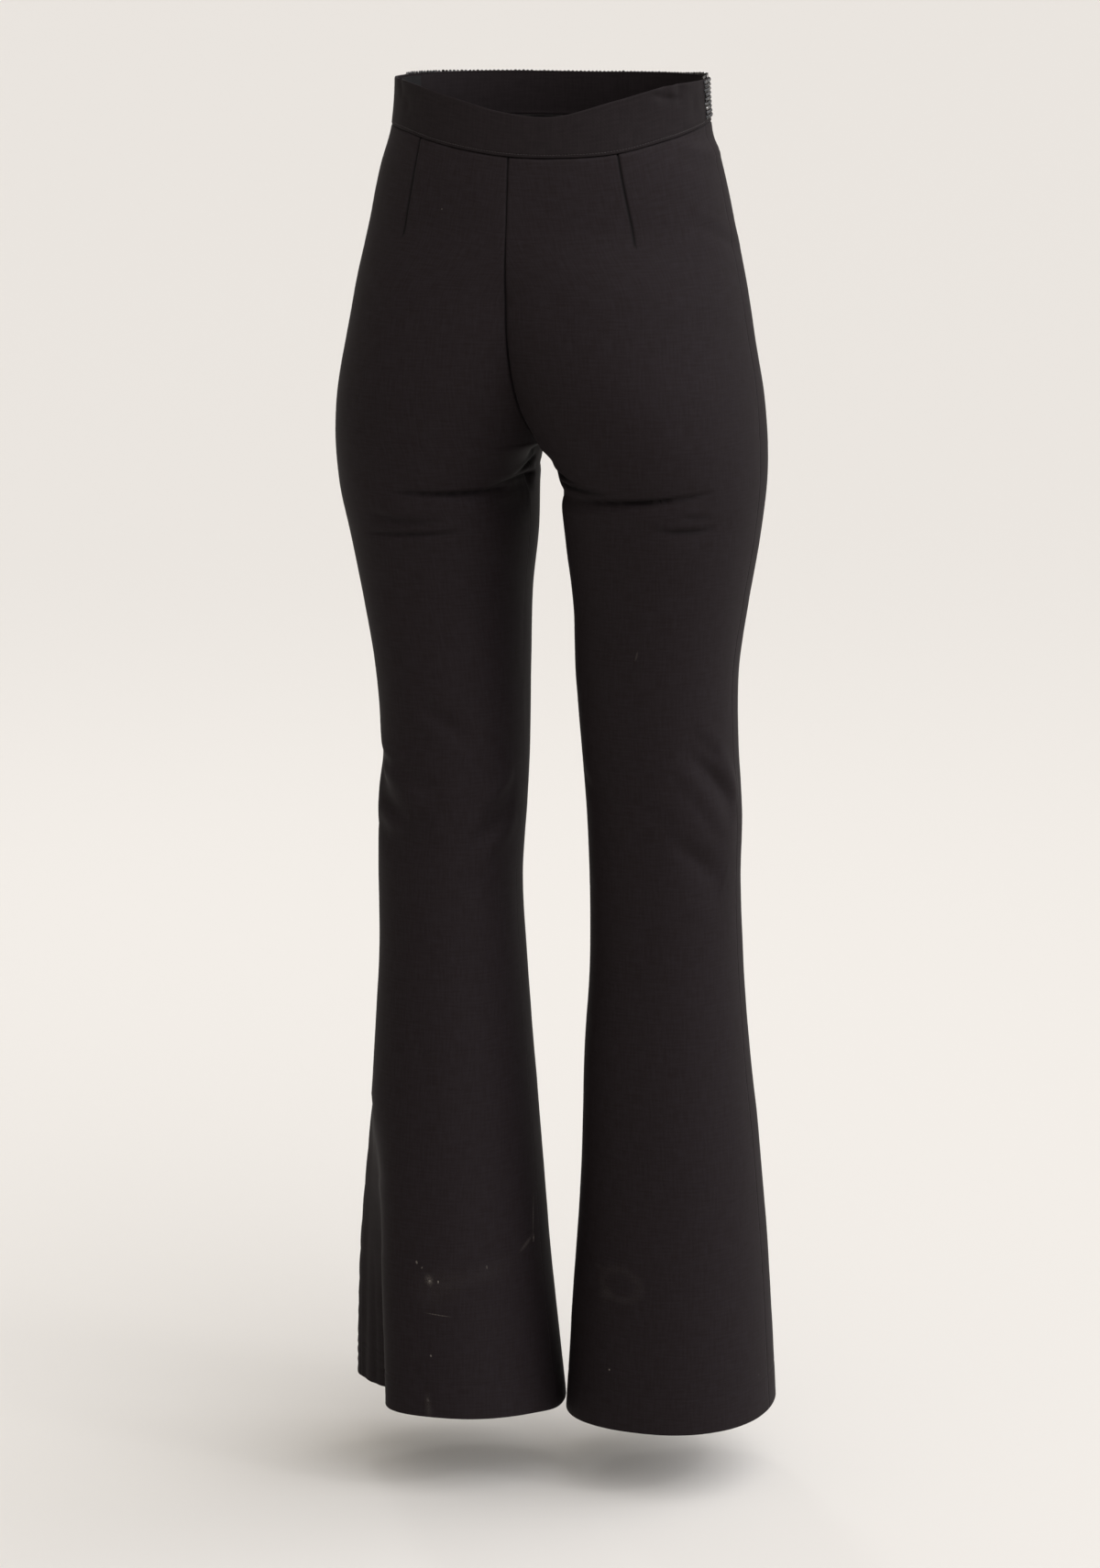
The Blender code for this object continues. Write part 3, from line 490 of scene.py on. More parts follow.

# %% [markdown]
# ## Seams
# Two panels that are sewn together are pressed open, so the cloth rolls in a little on
# both sides of the stitching line, and the thread draws it up into tiny waves. The seam
# is a narrow groove whose depth varies along its length. The same goes for the dart, the
# wedge that is sewn away in each back panel to shape the waist. Grooves and sharp creases
# in near-black cloth swallow their light, so shade is also painted into the colour: each
# point says how far its colour is darkened, along the seams and the dart, in the sharp
# creases and in the hollow under the crotch.

# %% Surface of the cloth
SIDE_SEAM, RISE_SEAM, INSEAM, WAIST_SEAM = 0.25, 1.0, 0.05, 1.2    # depths, mm
SEAM_WIDTH, WAIST_SEAM_WIDTH = 0.75, 1.5
EDGE_STEADY = 9.0      # mm beside a seam that stay free of the cloth's unevenness
SHADE_WIDTH = 0.8      # mm to each side of a pressed seam or the dart that gets painted shade
SEWN_GAP = -0.02       # mm: sewn edges lap by a hair, so no light shows through
ARCH_ONSET = 0.35      # how softly the legs begin to part below the crotch
CREASE_SHADE = 0.75    # painted shade: share of its colour that the cloth loses deep in a sharp crease
SHADED_FROM = 3.5      # depth in mm at which a sharp crease is that dark
CROTCH_SHADE = 0.6     # painted shade in the hollow under the crotch, as above, and its place and size:
HOLLOW_DOWN, HOLLOW_HIGH, HOLLOW_WIDE = 10, 15, 13
DART_DEPTH, DART_WIDTH = 1.2, 0.55
HEM_TURN_UP = 32.0
HEM_LINE_DEPTH, HEM_LINE_WIDTH = 0.28, 1.3


def unevenness(points, size, seed):
    """Smooth noise between -1 and 1 at each point, features about size mm across."""
    shift = Vector((seed * 17.3, seed * 5.1, seed * 9.7))
    flat = points.reshape(-1, 3) / size
    values = [noise.noise(Vector(point) + shift) for point in flat]
    return np.array(values).reshape(points.shape[:-1])


def surface(side, half, u, z, gap=SEAM_GAP, push=None):
    """Point of the outer cloth, mm: u runs from the side seam (0) to the centre or inseam (1).
    push(angle, z, turn, end) moves it out or in."""
    u, z = np.broadcast_arrays(np.asarray(u, float), np.asarray(z, float))
    above = z > CROTCH
    outer = body(side, "outer", z)
    depth = body(side, "back" if half == BACK else "front", z)
    side_arch, sharpness = SIDE_ARCH[side, half]
    gentle = CROTCH_ARCH + side_arch * (1 - u ** sharpness)
    onset = ARCH_ONSET * (gentle - CROTCH_ARCH)
    arch = 1 - np.exp((onset - np.hypot(np.minimum(z - CROTCH, 0), onset)) / gentle)
    inner = body(side, "inner", z) * arch
    seam_depth, turn_height = SEAM_CURVES[half]
    turned = np.clip((turn_height - z) / (turn_height - CROTCH), 0, 1)
    shape = np.clip(seam_depth / depth, 0, 1) * np.sqrt(1 - turned ** 2)
    overlap = (1 - shape ** ROUNDNESS) ** (1 / ROUNDNESS)
    overlap = overlap * eased((z - HOLLOW_FROM) / (HOLLOW_FULL - HOLLOW_FROM))
    shape = (1 - overlap ** ROUNDNESS) ** (1 / ROUNDNESS)
    centre = np.where(above, outer * overlap / (1 + overlap), (outer + inner) / 2)
    width = np.where(above, outer / (1 + overlap), (outer - inner) / 2)
    end = np.where(above, np.arctan2(depth * shape, -centre), math.pi)
    half_gap = gap / 2 / LEG_RADIUS
    end = end - half_gap * np.where(above, 1, 2)
    even = math.pi / 2 * (1 + eased(z / SPREAD_DONE_AT))
    turn = half_gap + even * u + (end - even) * u ** 4
    reach = (np.abs(np.cos(turn) / width) ** ROUNDNESS
             + np.abs(np.sin(turn) / depth) ** ROUNDNESS) ** (-1 / ROUNDNESS)
    angle = half * np.degrees(turn)
    reach = reach + push_of(FOLDS, side, angle, z)
    if push is not None:
        reach = reach + push(angle, z, turn, end)
    x = centre + reach * np.cos(turn)
    y = half * np.maximum(reach * np.sin(turn), gap / 2) + body(side, "centre", z)
    x = np.where(above, np.maximum(x, gap / 2), x)
    return np.stack([side * x, y, z], axis=-1)


def outward(side, half, points):
    """Unit normals of a grid of points, pointing away from the wearer."""
    across = np.gradient(points, axis=1)
    up = np.gradient(points, axis=0)
    normal = side * half * np.cross(across, up)
    return normal / np.maximum(np.linalg.norm(normal, axis=-1, keepdims=True), 1e-9)


def lengths_along(line):
    """Distance along a line of points from its first point to each."""
    return np.concatenate([[0], np.cumsum(np.linalg.norm(np.diff(line, axis=0), axis=-1))])


def around(side, half, u):
    """Angle round the body of a line of the hips, 0 at the left side and 90 at the back."""
    quarter = 90 * np.asarray(u, float) * half
    return quarter if side == LEFT else 180 - quarter


# %% [markdown]
# ## A sheet of cloth
# Each panel starts as a flat grid, which is bent onto the surface point by point, and a
# Solidify modifier gives it its thickness inwards. The grid keeps its own map in metres
# along and across the cloth, so the weave runs with the panel as it would on the bolt.
# The grid is finer at the seams, the seat and the knees, where the creases are.

# %% Making a sheet
CLOTH = 1.1          # mm; the visible cloth is a little thinner than its solid
HEM_CLOTH = 2.0      # turned up twice at the hem
BAND_CLOTH = 2.0


def spaced(stops):
    """Heights or fractions from stops of (start, steps), the last stop being the end."""
    values = []
    for (start, steps), (stop, _) in zip(stops, stops[1:]):
        values += [start + (stop - start) * k / steps for k in range(steps)]
    return values + [stops[-1][0]]


def cloth_sheet(name, points, inwards, wall, shade, thick_from=None):
    """A sheet through a grid of points, rows upwards. shade is the painted shade, 1 where the
    colour is darkened most, and thick_from gives a weight for the wall, where the whole wall is
    1."""
    rows, columns = points.shape[:2]
    steps_across = np.linalg.norm(np.diff(points, axis=1), axis=-1)
    along_row = np.concatenate([np.zeros((rows, 1)), np.cumsum(steps_across, axis=1)], axis=1)
    along_row = along_row - along_row[:, [columns // 2]]
    up_middle = lengths_along(points[:, columns // 2])
    sheet = bmesh.new()
    uv = sheet.loops.layers.uv.new("cloth_map")
    # painted shade: how far the suiting darkens the colour at each point
    in_shade = sheet.verts.layers.float.new("painted_shade")
    bmesh.ops.create_grid(sheet, x_segments=columns - 1, y_segments=rows - 1, size=0.5)
    sheet.verts.ensure_lookup_table()
    place = {}
    for vert in sheet.verts:
        across = round((vert.co.x + 0.5) * (columns - 1))
        up = round((vert.co.y + 0.5) * (rows - 1))
        place[vert.index] = (up, across)
        vert.co = Vector(points[up, across] * MM)
        vert[in_shade] = float(shade[up, across])
    cloth_map = np.stack([along_row, up_middle[:, None] + 0 * along_row], axis=-1) * MM
    for face in sheet.faces:
        for loop in face.loops:
            loop[uv].uv = cloth_map[place[loop.vert.index]]
    if inwards:
        bmesh.ops.reverse_faces(sheet, faces=sheet.faces)
    piece = piece_from(name, sheet)
    modifier = piece.modifiers.new("cloth_thickness", "SOLIDIFY")
    modifier.thickness = wall * MM
    modifier.offset = -1.0
    if thick_from is not None:
        group = piece.vertex_groups.new(name="wall")
        for index, (up, across) in place.items():
            group.add([index], float(thick_from[up, across]), "REPLACE")
        modifier.vertex_group = "wall"
    area = float(np.linalg.norm(np.cross(np.diff(points, axis=0)[:, :-1],
                                         np.diff(points, axis=1)[:-1]), axis=-1).sum())
    return piece, area * MM * MM, cloth_map


# %% Where the lines of a leg panel run
SEAM_LINES = (0, 0.0028, 0.007, 0.013, 0.022)
DART_LINES = (-0.020, -0.011, -0.006, -0.003, 0, 0.003, 0.006, 0.011, 0.020)
LEG_HEIGHTS = spaced((
    (HEM, 1), (HEM + 1, 1), (HEM + 3, 4), (-1060, 5), (HEM + HEM_TURN_UP - 3, 5),
    (HEM + HEM_TURN_UP + 3, 60), (-650, 112), (-455, 26), (-330, 13), (-316, 10),
    (-303, 50), (-264, 8), (-258, 7), (CROTCH + 0.01, 12), (-232, 16), (-139, 26),
    (-20, 8), (-4, 3), (-1.2, 2), (0, 0)))


def fractions_across(half):
    """Fractions from the side seam to the centre seam, closer together at the seams."""
    inside = list(np.linspace(SEAM_LINES[-1], 1 - SEAM_LINES[-1], 92)[1:-1])
    if half == BACK:
        inside = [u for u in inside if abs(u - DART_FRACTION) > DART_LINES[-1] * 1.2]
        inside += [DART_FRACTION + step for step in DART_LINES]
    ends = list(SEAM_LINES) + [1 - u for u in SEAM_LINES]
    return np.array(sorted(inside + ends))


def dart_fraction(side, z_line):
    """Where the straight dart crosses a cross line; below its tip the last value stays."""
    z_line = max(z_line, -DART_TOP_TO_TIP)
    at_waist, at_tip = DART_OUT[side]
    target = at_waist - (at_tip - at_waist) * z_line / DART_TOP_TO_TIP
    tried = np.linspace(0.3, 0.7, 81)
    out = np.abs(surface(side, BACK, tried, follow_edges(side, BACK, tried, z_line))[:, 0])
    return float(np.interp(target, out[::-1], tried[::-1]))


def slanted(side, half, fractions, z_line):
    """The back's lines follow the dart above its tip."""
    if half == FRONT:
        return fractions
    share = np.interp(fractions, (0.08, 0.42, 0.59, 0.89), (0, 1, 1, 0))
    return fractions + share * (dart_fraction(side, z_line) - DART_FRACTION)


def follow_edges(side, half, u, z):
    """Height of a cross line, which dips with the waist seam and bends with the hem."""
    dip = eased(1 - z / DIP_FADES_AT) * waistline("seam", around(side, half, u))
    hem_share = eased((z - HEM_FADES_AT) / (HEM - HEM_FADES_AT))
    lift = hem_share * (hemline(side, 180 * half * np.asarray(u, float)) - HEM)
    return z + dip + lift


print(len(LEG_HEIGHTS), "lines up a leg,", len(fractions_across(BACK)), "across a back panel")

# %% [markdown]
# ## The suiting
# Stretch suiting is a fine twill of polyester and viscose with a little elastane. It is
# nearly black, dull, and its short fibres give a soft bloom where the cloth turns away,
# which the sheen layer of the shader draws. Its threads are 0.3 mm apart, too fine to
# show, so the twill is drawn at 0.9 mm. The waistband's suiting is drawn a shade darker.
# Dust and chalk marks lie on the back of the flares, and a table places each one on the
# cloth's own map.

# %% Dust marks
# fraction across the panel, height in mm, half width, half height, lean in degrees,
# strength, and the share of it that is hollow, for a ring
MARKS = {
    "back_left": (
        (0.560, -934, 1.3, 2.2, 10, 0.24, 0.0),
        (0.575, -938, 0.8, 1.4, -20, 0.20, 0.0),
        (0.598, -948, 5.0, 7.0, 20, 0.07, 0.0),
        (0.602, -949, 1.5, 2.4, 0, 0.18, 0.0),
        (0.624, -949, 0.8, 1.8, 0, 0.40, 0.0),
        (0.749, -938, 0.6, 2.2, 5, 0.30, 0.0),
        (0.952, -906, 1.0, 26.0, -3, 0.12, 0.0),
        (0.942, -926, 1.3, 4.5, -6, 0.24, 0.0),
        (0.895, -927, 16.0, 3.0, 24, 0.05, 0.0),
        (0.619, -977, 15.0, 0.6, -6, 0.12, 0.0),
        (0.620, -954, 34.0, 24.0, 30, 0.008, 0.0),
        (0.740, -944, 50.0, 14.0, 12, 0.006, 0.0),
        (0.600, -1012, 1.0, 1.6, 0, 0.30, 0.0),
        (0.590, -1056, 4.5, 17.0, 3, 0.025, 0.0),
        (0.588, -1050, 1.6, 3.0, 20, 0.05, 0.0),
        (0.660, -59.5, 0.6, 0.7, 0, 0.40, 0.0),
    ),
    "back_right": (
        (0.640, -949, 26.0, 19.0, 8, 0.008, 0.68),
        (0.705, -938, 9.0, 4.0, 10, 0.008, 0.0),
        (0.680, -960, 13.0, 9.0, -25, 0.010, 0.0),
        (0.662, -1024, 0.9, 1.5, 0, 0.32, 0.0),
        (0.074, -1037.5, 0.6, 1.0, 0, 0.15, 0.0),
        (0.564, -415, 1.2, 6.0, 10, 0.05, 0.0),
    ),
}


def dust(tree, coordinates, marks):
    """A grey mask with a soft spot, streak or ring for each mark, broken up like dust."""
    total = None
    for (across, up), (_, _, half_width, half_height, lean, strength, hollow) in marks:
        local = node(tree, "Mapping", (
            ("vector_type", "TEXTURE"), ("Location", (across, up, 0)),
            ("Rotation", (0, 0, math.radians(lean))),
            ("Scale", (half_width * MM, half_height * MM, 1))), (("Vector", coordinates),))
        away = node(tree, "VectorMath", (("operation", "LENGTH"),),
                    ((0, local.outputs["Vector"]),))
        off = maths(tree, "SUBTRACT", away.outputs["Value"], hollow)
        off = maths(tree, "ABSOLUTE", off, 0)
        mark = node(tree, "MapRange", (
            ("interpolation_type", "SMOOTHSTEP"), ("From Min", 0.0),
            ("From Max", 1 - hollow), ("To Min", strength), ("To Max", 0.0)),
            (("Value", off),)).outputs["Result"]
        total = mark if total is None else maths(tree, "ADD", total, mark)
    grit = node(tree, "TexNoise", (("Scale", 900.0), ("Detail", 2.0)),
                (("Vector", coordinates),))
    broken = node(tree, "MapRange", (
        ("From Min", 0.35), ("From Max", 0.62), ("To Min", 0.25), ("To Max", 1.3)),
        (("Value", grit.outputs["Fac"]),))
    return node(tree, "Math", (("operation", "MULTIPLY"), ("use_clamp", True)),
                ((0, total), (1, broken.outputs["Result"]))).outputs["Value"]


print(sum(len(rows) for rows in MARKS.values()), "dust marks")

# %% The suiting's material
TWILL_SPACING, TWILL_DEPTH = 0.9, 0.05     # mm; drawn three times coarser than life
WAVE_PERIOD = 0.314                        # m between waves at scale 1, on one axis
DIAGONAL = 1.414
THREAD_SCALES = ((60.0, 620.0, 1.0), (620.0, 60.0, 1.0))    # uneven yarns, both ways


def twill(tree, coordinates, shader):
    """Diagonal ribs as a bump on the shader."""
    ribs = node(tree, "TexWave", (
        ("bands_direction", "DIAGONAL"),
        ("Scale", WAVE_PERIOD / (TWILL_SPACING * MM) / DIAGONAL),
        ("Distortion", 0.6), ("Detail", 1.0), ("Detail Scale", 3.0)),
        (("Vector", coordinates),))
    bump = node(tree, "Bump", (
        ("Strength", 0.35), ("Distance", TWILL_DEPTH * MM)),
        (("Height", ribs.outputs["Fac"]),))
    tree.links.new(bump.outputs["Normal"], shader.inputs["Normal"])


def suiting(name, marks=(), dark="171112", light="1c1719"):
    """Near-black stretch suiting: a dull twill with a soft bloom and faint mottling, with any
    dust marks, and painted shade in its seams and creases.
    """
    made, tree, shader = material(name, (
        ("Roughness", 0.76), ("IOR", 1.46), ("Specular IOR Level", 0.12),
        ("Sheen Weight", 0.01), ("Sheen Roughness", 0.35), ("Sheen Tint", colour("e6d6d6"))))
    own_map = node(tree, "UVMap", (("uv_map", "cloth_map"),)).outputs["UV"]
    twill(tree, own_map, shader)
    slubs = None
    for thread_scale in THREAD_SCALES:
        stretched = node(tree, "Mapping", (("Scale", thread_scale),),
                         (("Vector", own_map),))
        slub = node(tree, "TexNoise", (("Scale", 1.0), ("Detail", 2.0)),
                    (("Vector", stretched.outputs["Vector"]),)).outputs["Fac"]
        slubs = slub if slubs is None else maths(tree, "ADD", slubs, slub)
    halved = maths(tree, "MULTIPLY", slubs, 0.5)
    tone = node(tree, "ValToRGB", (), (("Fac", halved),))
    tone.color_ramp.elements[0].position = 0.38
    tone.color_ramp.elements[0].color = colour(dark)
    tone.color_ramp.elements[1].position = 0.62
    tone.color_ramp.elements[1].color = colour(light)
    cloth = tone.outputs["Color"]
    if marks:
        dusty = node(tree, "Mix", (("data_type", "RGBA"), (7, colour("b9b0a4"))),
                     ((0, dust(tree, own_map, marks)), (6, cloth)))
        cloth = dusty.outputs[2]
    # painted shade: the colour darkened towards black along the seams and the dart, in the
    # sharp creases and under the crotch
    seam = node(tree, "Attribute", (("attribute_name", "painted_shade"),))
    shaded = node(tree, "Mix", (("data_type", "RGBA"), (7, colour("060404"))),
                  ((0, seam.outputs["Fac"]), (6, cloth)))
    tree.links.new(shaded.outputs[2], shader.inputs["Base Color"])
    return made


def marks_on(name, fractions, points, cloth_map):
    """The marks of one panel, each with its place on the cloth's own map in metres."""
    found = []
    for mark in MARKS.get(name, ()):
        line = int(np.argmin(np.abs(fractions - mark[0])))
        row = int(np.argmin(np.abs(points[:, line, 2] - mark[1])))
        beside = (mark[0] - fractions[line]) * BACK_WIDTH * MM
        above = (mark[1] - points[row, line, 2]) * MM
        across, up = cloth_map[row, line]
        found.append(((across + beside, up + above), mark))
    return found


black_suiting = suiting("black_stretch_suiting")
# the waistband's suiting: the same cloth, drawn a shade darker
darker_band_suiting = suiting("darker_band_stretch_suiting", dark="140f10", light="191415")
print("materials", black_suiting.name, darker_band_suiting.name)

# %% [markdown]
# ## Leg panels
# Two backs and two fronts are cut, each from the waist to the hem. Small extra movements
# on top of the folds keep the cloth from looking moulded: low unevenness all over, the
# rolled seams, the dart, and the faint line where the hem is caught up blind, 32 mm
# above its edge.


# %% Laying the panels
def leg_panel(side, half):
    """Outer points of one panel with everything that shapes its surface, the painted shade of
    each point and the weight of its wall.
    """
    fractions = fractions_across(half)
    u = np.array([slanted(side, half, fractions, z) for z in LEG_HEIGHTS])
    z_line = np.array(LEG_HEIGHTS)[:, None] * np.ones_like(u)
    z = follow_edges(side, half, u, z_line)
    smooth = surface(side, half, u, z)
    seed = 3 * side + half
    low = unevenness(smooth, 70.0, seed) * 0.55 + unevenness(smooth, 24.0, seed + 9) * 0.16
    pucker = 1 + 0.55 * unevenness(smooth, 9.0, seed + 20)
    sharp_rows = [row for row in CREASES if row[-1] < SHARP_BELOW]
    sunk = []

    def push(angle, height, turn, end):
        sunk.append(-push_of(sharp_rows, side, angle, height))
        from_side = turn * LEG_RADIUS
        from_centre = (end - turn) * LEG_RADIUS
        edge = np.minimum(from_side, from_centre)
        fade = 1 - np.exp(-(edge / EDGE_STEADY) ** 2)
        centre_depth = np.where(height > CROTCH, RISE_SEAM, INSEAM)
        seams = pucker * (SIDE_SEAM * np.exp(-(from_side / SEAM_WIDTH) ** 2)
                          + centre_depth * np.exp(-(from_centre / SEAM_WIDTH) ** 2)
                          + WAIST_SEAM * np.exp(-(z_line / WAIST_SEAM_WIDTH) ** 2))
        line = z_line - (HEM + HEM_TURN_UP)
        caught = HEM_LINE_DEPTH * pucker * np.exp(-(line / HEM_LINE_WIDTH) ** 2)
        out = push_of(CREASES, side, angle, height, ridge=0.45) + low * fade
        return out - seams - caught

    points = surface(side, half, u, z, SEWN_GAP, push)
    # painted shade along the rise and waist seams, in the sharp creases and in the hollow under
    # the crotch
    from_centre = (1 - fractions)[None, :] * RISE_WIDTH
    shade = np.where(z_line > CROTCH, np.exp(-(from_centre / SHADE_WIDTH) ** 2), 0)
    shade = np.maximum(shade, np.exp(-(z_line / SHADE_WIDTH) ** 2))
    shade = np.maximum(shade, CREASE_SHADE * np.clip(sunk[0] / SHADED_FROM, 0, 1) ** 1.3)
    hollow = np.exp(-((z_line - CROTCH + HOLLOW_DOWN) / HOLLOW_HIGH) ** 2
                    - (from_centre / HOLLOW_WIDE) ** 2)
    shade = np.maximum(shade, CROTCH_SHADE * hollow)
    if half == BACK:
        off_dart = np.abs(fractions - DART_FRACTION)[None, :] * BACK_WIDTH
        down = np.clip(1 + z_line / DART_TOP_TO_TIP, 0, 1)
        groove = DART_DEPTH * down ** 0.25 * np.exp(-(off_dart / DART_WIDTH) ** 2)
        dimple = 0.35 * np.exp(-(off_dart / 5.0) ** 2
                               - ((z_line + DART_TOP_TO_TIP - 4) / 9.0) ** 2)
        points = points - outward(side, half, points) * (groove + dimple)[..., None]
        # painted shade along the dart's stitching line
        on_dart = (z_line > -DART_TOP_TO_TIP) * np.exp(-(off_dart / SHADE_WIDTH) ** 2)
        shade = np.maximum(shade, on_dart)
    wall = np.where(z_line < HEM + HEM_TURN_UP, 1.0, CLOTH / HEM_CLOTH)
    return points, shade, wall


PANELS = (
    ("back_left", LEFT, BACK), ("back_right", RIGHT, BACK),
    ("front_left", LEFT, FRONT), ("front_right", RIGHT, FRONT),
)
panel_pieces = {}
for name, side, half in PANELS:
    points, shade, wall = leg_panel(side, half)
    piece, area, cloth_map = cloth_sheet(name + "_cloth", points, side * half < 0,
                                         HEM_CLOTH, shade, wall)
    marks = marks_on(name, fractions_across(half), points, cloth_map)
    finish = suiting(name + "_dusty_suiting", marks) if marks else black_suiting
    piece.data.materials.append(finish)
    panel_pieces[name] = (piece, area)
    print(name, points.shape, "area", round(area, 3), "m2")

# %% [markdown]
# ## Waistband
# The waistband is a curved band of the same cloth, made double and pressed, sewn on over
# the waist seam. Its edges are rolled, and a row of fine topstitching runs just above
# the seam. The back piece is plain; the front carries the stones.

# %% Laying the waistband
WAIST_LAP = 0.15     # mm that the band's edge laps over the seam
BAND_HIGH = 37.0
STITCHED_AT, STITCHED_DEPTH, STITCHED_WIDTH = 2.2, 0.22, 0.9    # dent under the topstitching
BAND_SHARES = spaced(((0, 3), (0.03, 3), (0.10, 24), (0.93, 3), (0.985, 2), (1, 0)))
BAND_EDGE_ROLL, BAND_EDGE_WIDTH = 0.35, 0.6


def band_grid(half, fractions, shares, proud, low=0.0, creased=True):
    """Points of a band round one half of the waist, from the left side to the right, and
    its normals. proud is how far each point stands out, low how far it lies above the seam."""
    parts = []
    for side in (LEFT, RIGHT):
        u = np.asarray(fractions, float)
        if side == RIGHT:
            u = u[u < 1][::-1]
        angle = around(side, half, u)
        seam = waistline("seam", angle) - WAIST_LAP + low
        top = waistline("top", angle)
        u_grid, share_grid = np.meshgrid(u, shares)
        z = seam + (top - seam) * share_grid

        def push(angle_deg, height, *_, leg=side):
            return push_of(CREASES, leg, angle_deg, height, ridge=0.4)

        points = surface(side, half, u_grid, z, 0.0, push if creased else None)
        points[..., 1] += half * np.where(u_grid == 0, SEAM_GAP / 2, 0)
        parts.append(points)
    points = np.concatenate(parts, axis=1)
    normal = outward(LEFT, half, points)
    return points + normal * np.asarray(proud)[..., None], normal


def waistband(half, name):
    fractions = sorted(list(np.linspace(0.02, 1, 84)) + [0, 0.003, 0.008, 0.014])
    shares = np.array(BAND_SHARES)
    high = BAND_HIGH * shares
    from_edge = np.minimum(high, BAND_HIGH - high)
    roll = BAND_EDGE_ROLL * np.exp(-(from_edge / BAND_EDGE_WIDTH) ** 2)
    stitched = STITCHED_DEPTH * np.exp(-((high - STITCHED_AT) / STITCHED_WIDTH) ** 2)
    proud = np.repeat((BAND_PROUD - roll - stitched)[:, None], 2 * len(fractions) - 1, axis=1)
    points, normal = band_grid(half, fractions, shares, proud)
    uneven = unevenness(points, 26.0, 40 + half) * 0.22 + unevenness(points, 9.0, 44) * 0.08
    points = points + normal * uneven[..., None]
    return cloth_sheet(name, points, half == FRONT, BAND_CLOTH, np.zeros(proud.shape))


band_pieces = {}
for name, half in (("waistband_back", BACK), ("waistband_front", FRONT)):
    piece, area, _ = waistband(half, name + "_cloth")
    piece.data.materials.append(darker_band_suiting)
    band_pieces[name] = (piece, area)
    print(name, "area", round(area, 4), "m2")

# %% [markdown]
# ## Stones
# Ten rows of small faceted black stones cover the front of the waistband. Each is a
# rose-cut disc in a low metal cup, about 3 mm across, and they sit 3.5 mm apart in rows
# that follow the band. One stone is modelled, with two dozen faces, and copied to each
# place with its own small turn and tilt, because that is what makes a row sparkle.

# %% Stones on the front of the waistband
STONE_ROWS = 10
STONE_PITCH = 3.45
STONE_RADIUS = 1.55
STONE_HEIGHT = 1.55
PLAIN_STRIP = 3.2      # cloth left bare below the first row
TURN_SPREAD = 0.09     # radians that a stone leans, and mm that it sits off its place


def one_stone():
    """An eight-sided stone on its cup, standing on the origin."""
    stone = bmesh.new()
    cup = STONE_HEIGHT * 0.38
    bmesh.ops.create_cone(stone, cap_ends=False, segments=8, radius1=STONE_RADIUS * 0.94,
                          radius2=STONE_RADIUS, depth=cup,
                          matrix=Matrix.Translation((0, 0, cup / 2)))
    crown = STONE_HEIGHT * 0.42
    bmesh.ops.create_cone(stone, cap_ends=False, segments=8, radius1=STONE_RADIUS,
                          radius2=STONE_RADIUS * 0.62, depth=crown,
                          matrix=Matrix.Translation((0, 0, cup + crown / 2)))
    table = STONE_HEIGHT - cup - crown
    bmesh.ops.create_cone(stone, cap_ends=True, segments=8, radius1=STONE_RADIUS * 0.62,
                          radius2=STONE_RADIUS * 0.26, depth=table,
                          matrix=Matrix.Translation((0, 0, cup + crown + table / 2)))
    inner_cap = [f for f in stone.faces if f.normal.z < -0.9]
    bmesh.ops.delete(stone, geom=inner_cap, context="FACES_ONLY")
    bmesh.ops.remove_doubles(stone, verts=stone.verts, dist=0.01)
    bmesh.ops.holes_fill(stone, edges=stone.edges, sides=8)
    bmesh.ops.recalc_face_normals(stone, faces=stone.faces)
    mesh = bpy.data.meshes.new("one_stone")
    stone.to_mesh(mesh)
    stone.free()
    return mesh


def stones():
    rng = random.Random(11)
    template = one_stone()
    fine = np.linspace(0, 1, 260)
    rows = np.array([PLAIN_STRIP + STONE_RADIUS + k * STONE_PITCH for k in range(STONE_ROWS)])
    work = bmesh.new()
    tone = work.faces.layers.float.new("tone")
    count = 0
    for k, low in enumerate(rows):
        line, normal = band_grid(FRONT, fine, (0.0, 0.02), np.zeros((2, 2 * len(fine) - 1)),
                                 low, creased=False)
        line, normal = line[0], normal[0]
        along = lengths_along(line)
        first = 2.6 + (STONE_PITCH / 2 if k % 2 else 0)
        places = np.arange(first, along[-1] - 2.4, STONE_PITCH)
        for s in places:
            at = np.array([np.interp(s, along, line[:, axis]) for axis in range(3)])
            out = np.array([np.interp(s, along, normal[:, axis]) for axis in range(3)])
            out = Vector(out).normalized()
            upright = out.to_track_quat("Z", "Y").to_matrix().to_4x4()
            tilt = Matrix.Rotation(rng.gauss(0, TURN_SPREAD), 4, "X")
            tilt = tilt @ Matrix.Rotation(rng.gauss(0, TURN_SPREAD), 4, "Y")
            spin = Matrix.Rotation(rng.uniform(0, math.pi / 4), 4, "Z")
            jitter = Vector((rng.gauss(0, TURN_SPREAD), 0, rng.gauss(0, TURN_SPREAD)))
            size = rng.uniform(0.95, 1.03)
            move = Matrix.Translation((Vector(at) + jitter + out * (BAND_PROUD - 0.1)))
            start = len(work.verts)
            faces_before = len(work.faces)
            work.from_mesh(template)
            work.verts.ensure_lookup_table()
            work.faces.ensure_lookup_table()
            new = work.verts[start:]
            matrix = move @ upright @ tilt @ spin @ Matrix.Scale(size, 4)
            bmesh.ops.transform(work, matrix=Matrix.Scale(MM, 4) @ matrix, verts=new)
            # each stone's tone; the highest are drawn lighter, partly painted sparkle
            shade = rng.random()
            for face in work.faces[faces_before:]:
                face[tone] = shade
            count += 1
    piece = piece_from("waistband_stones", work, smooth=False)
    print(count, "stones,", len(piece.data.polygons), "faces")
    return piece


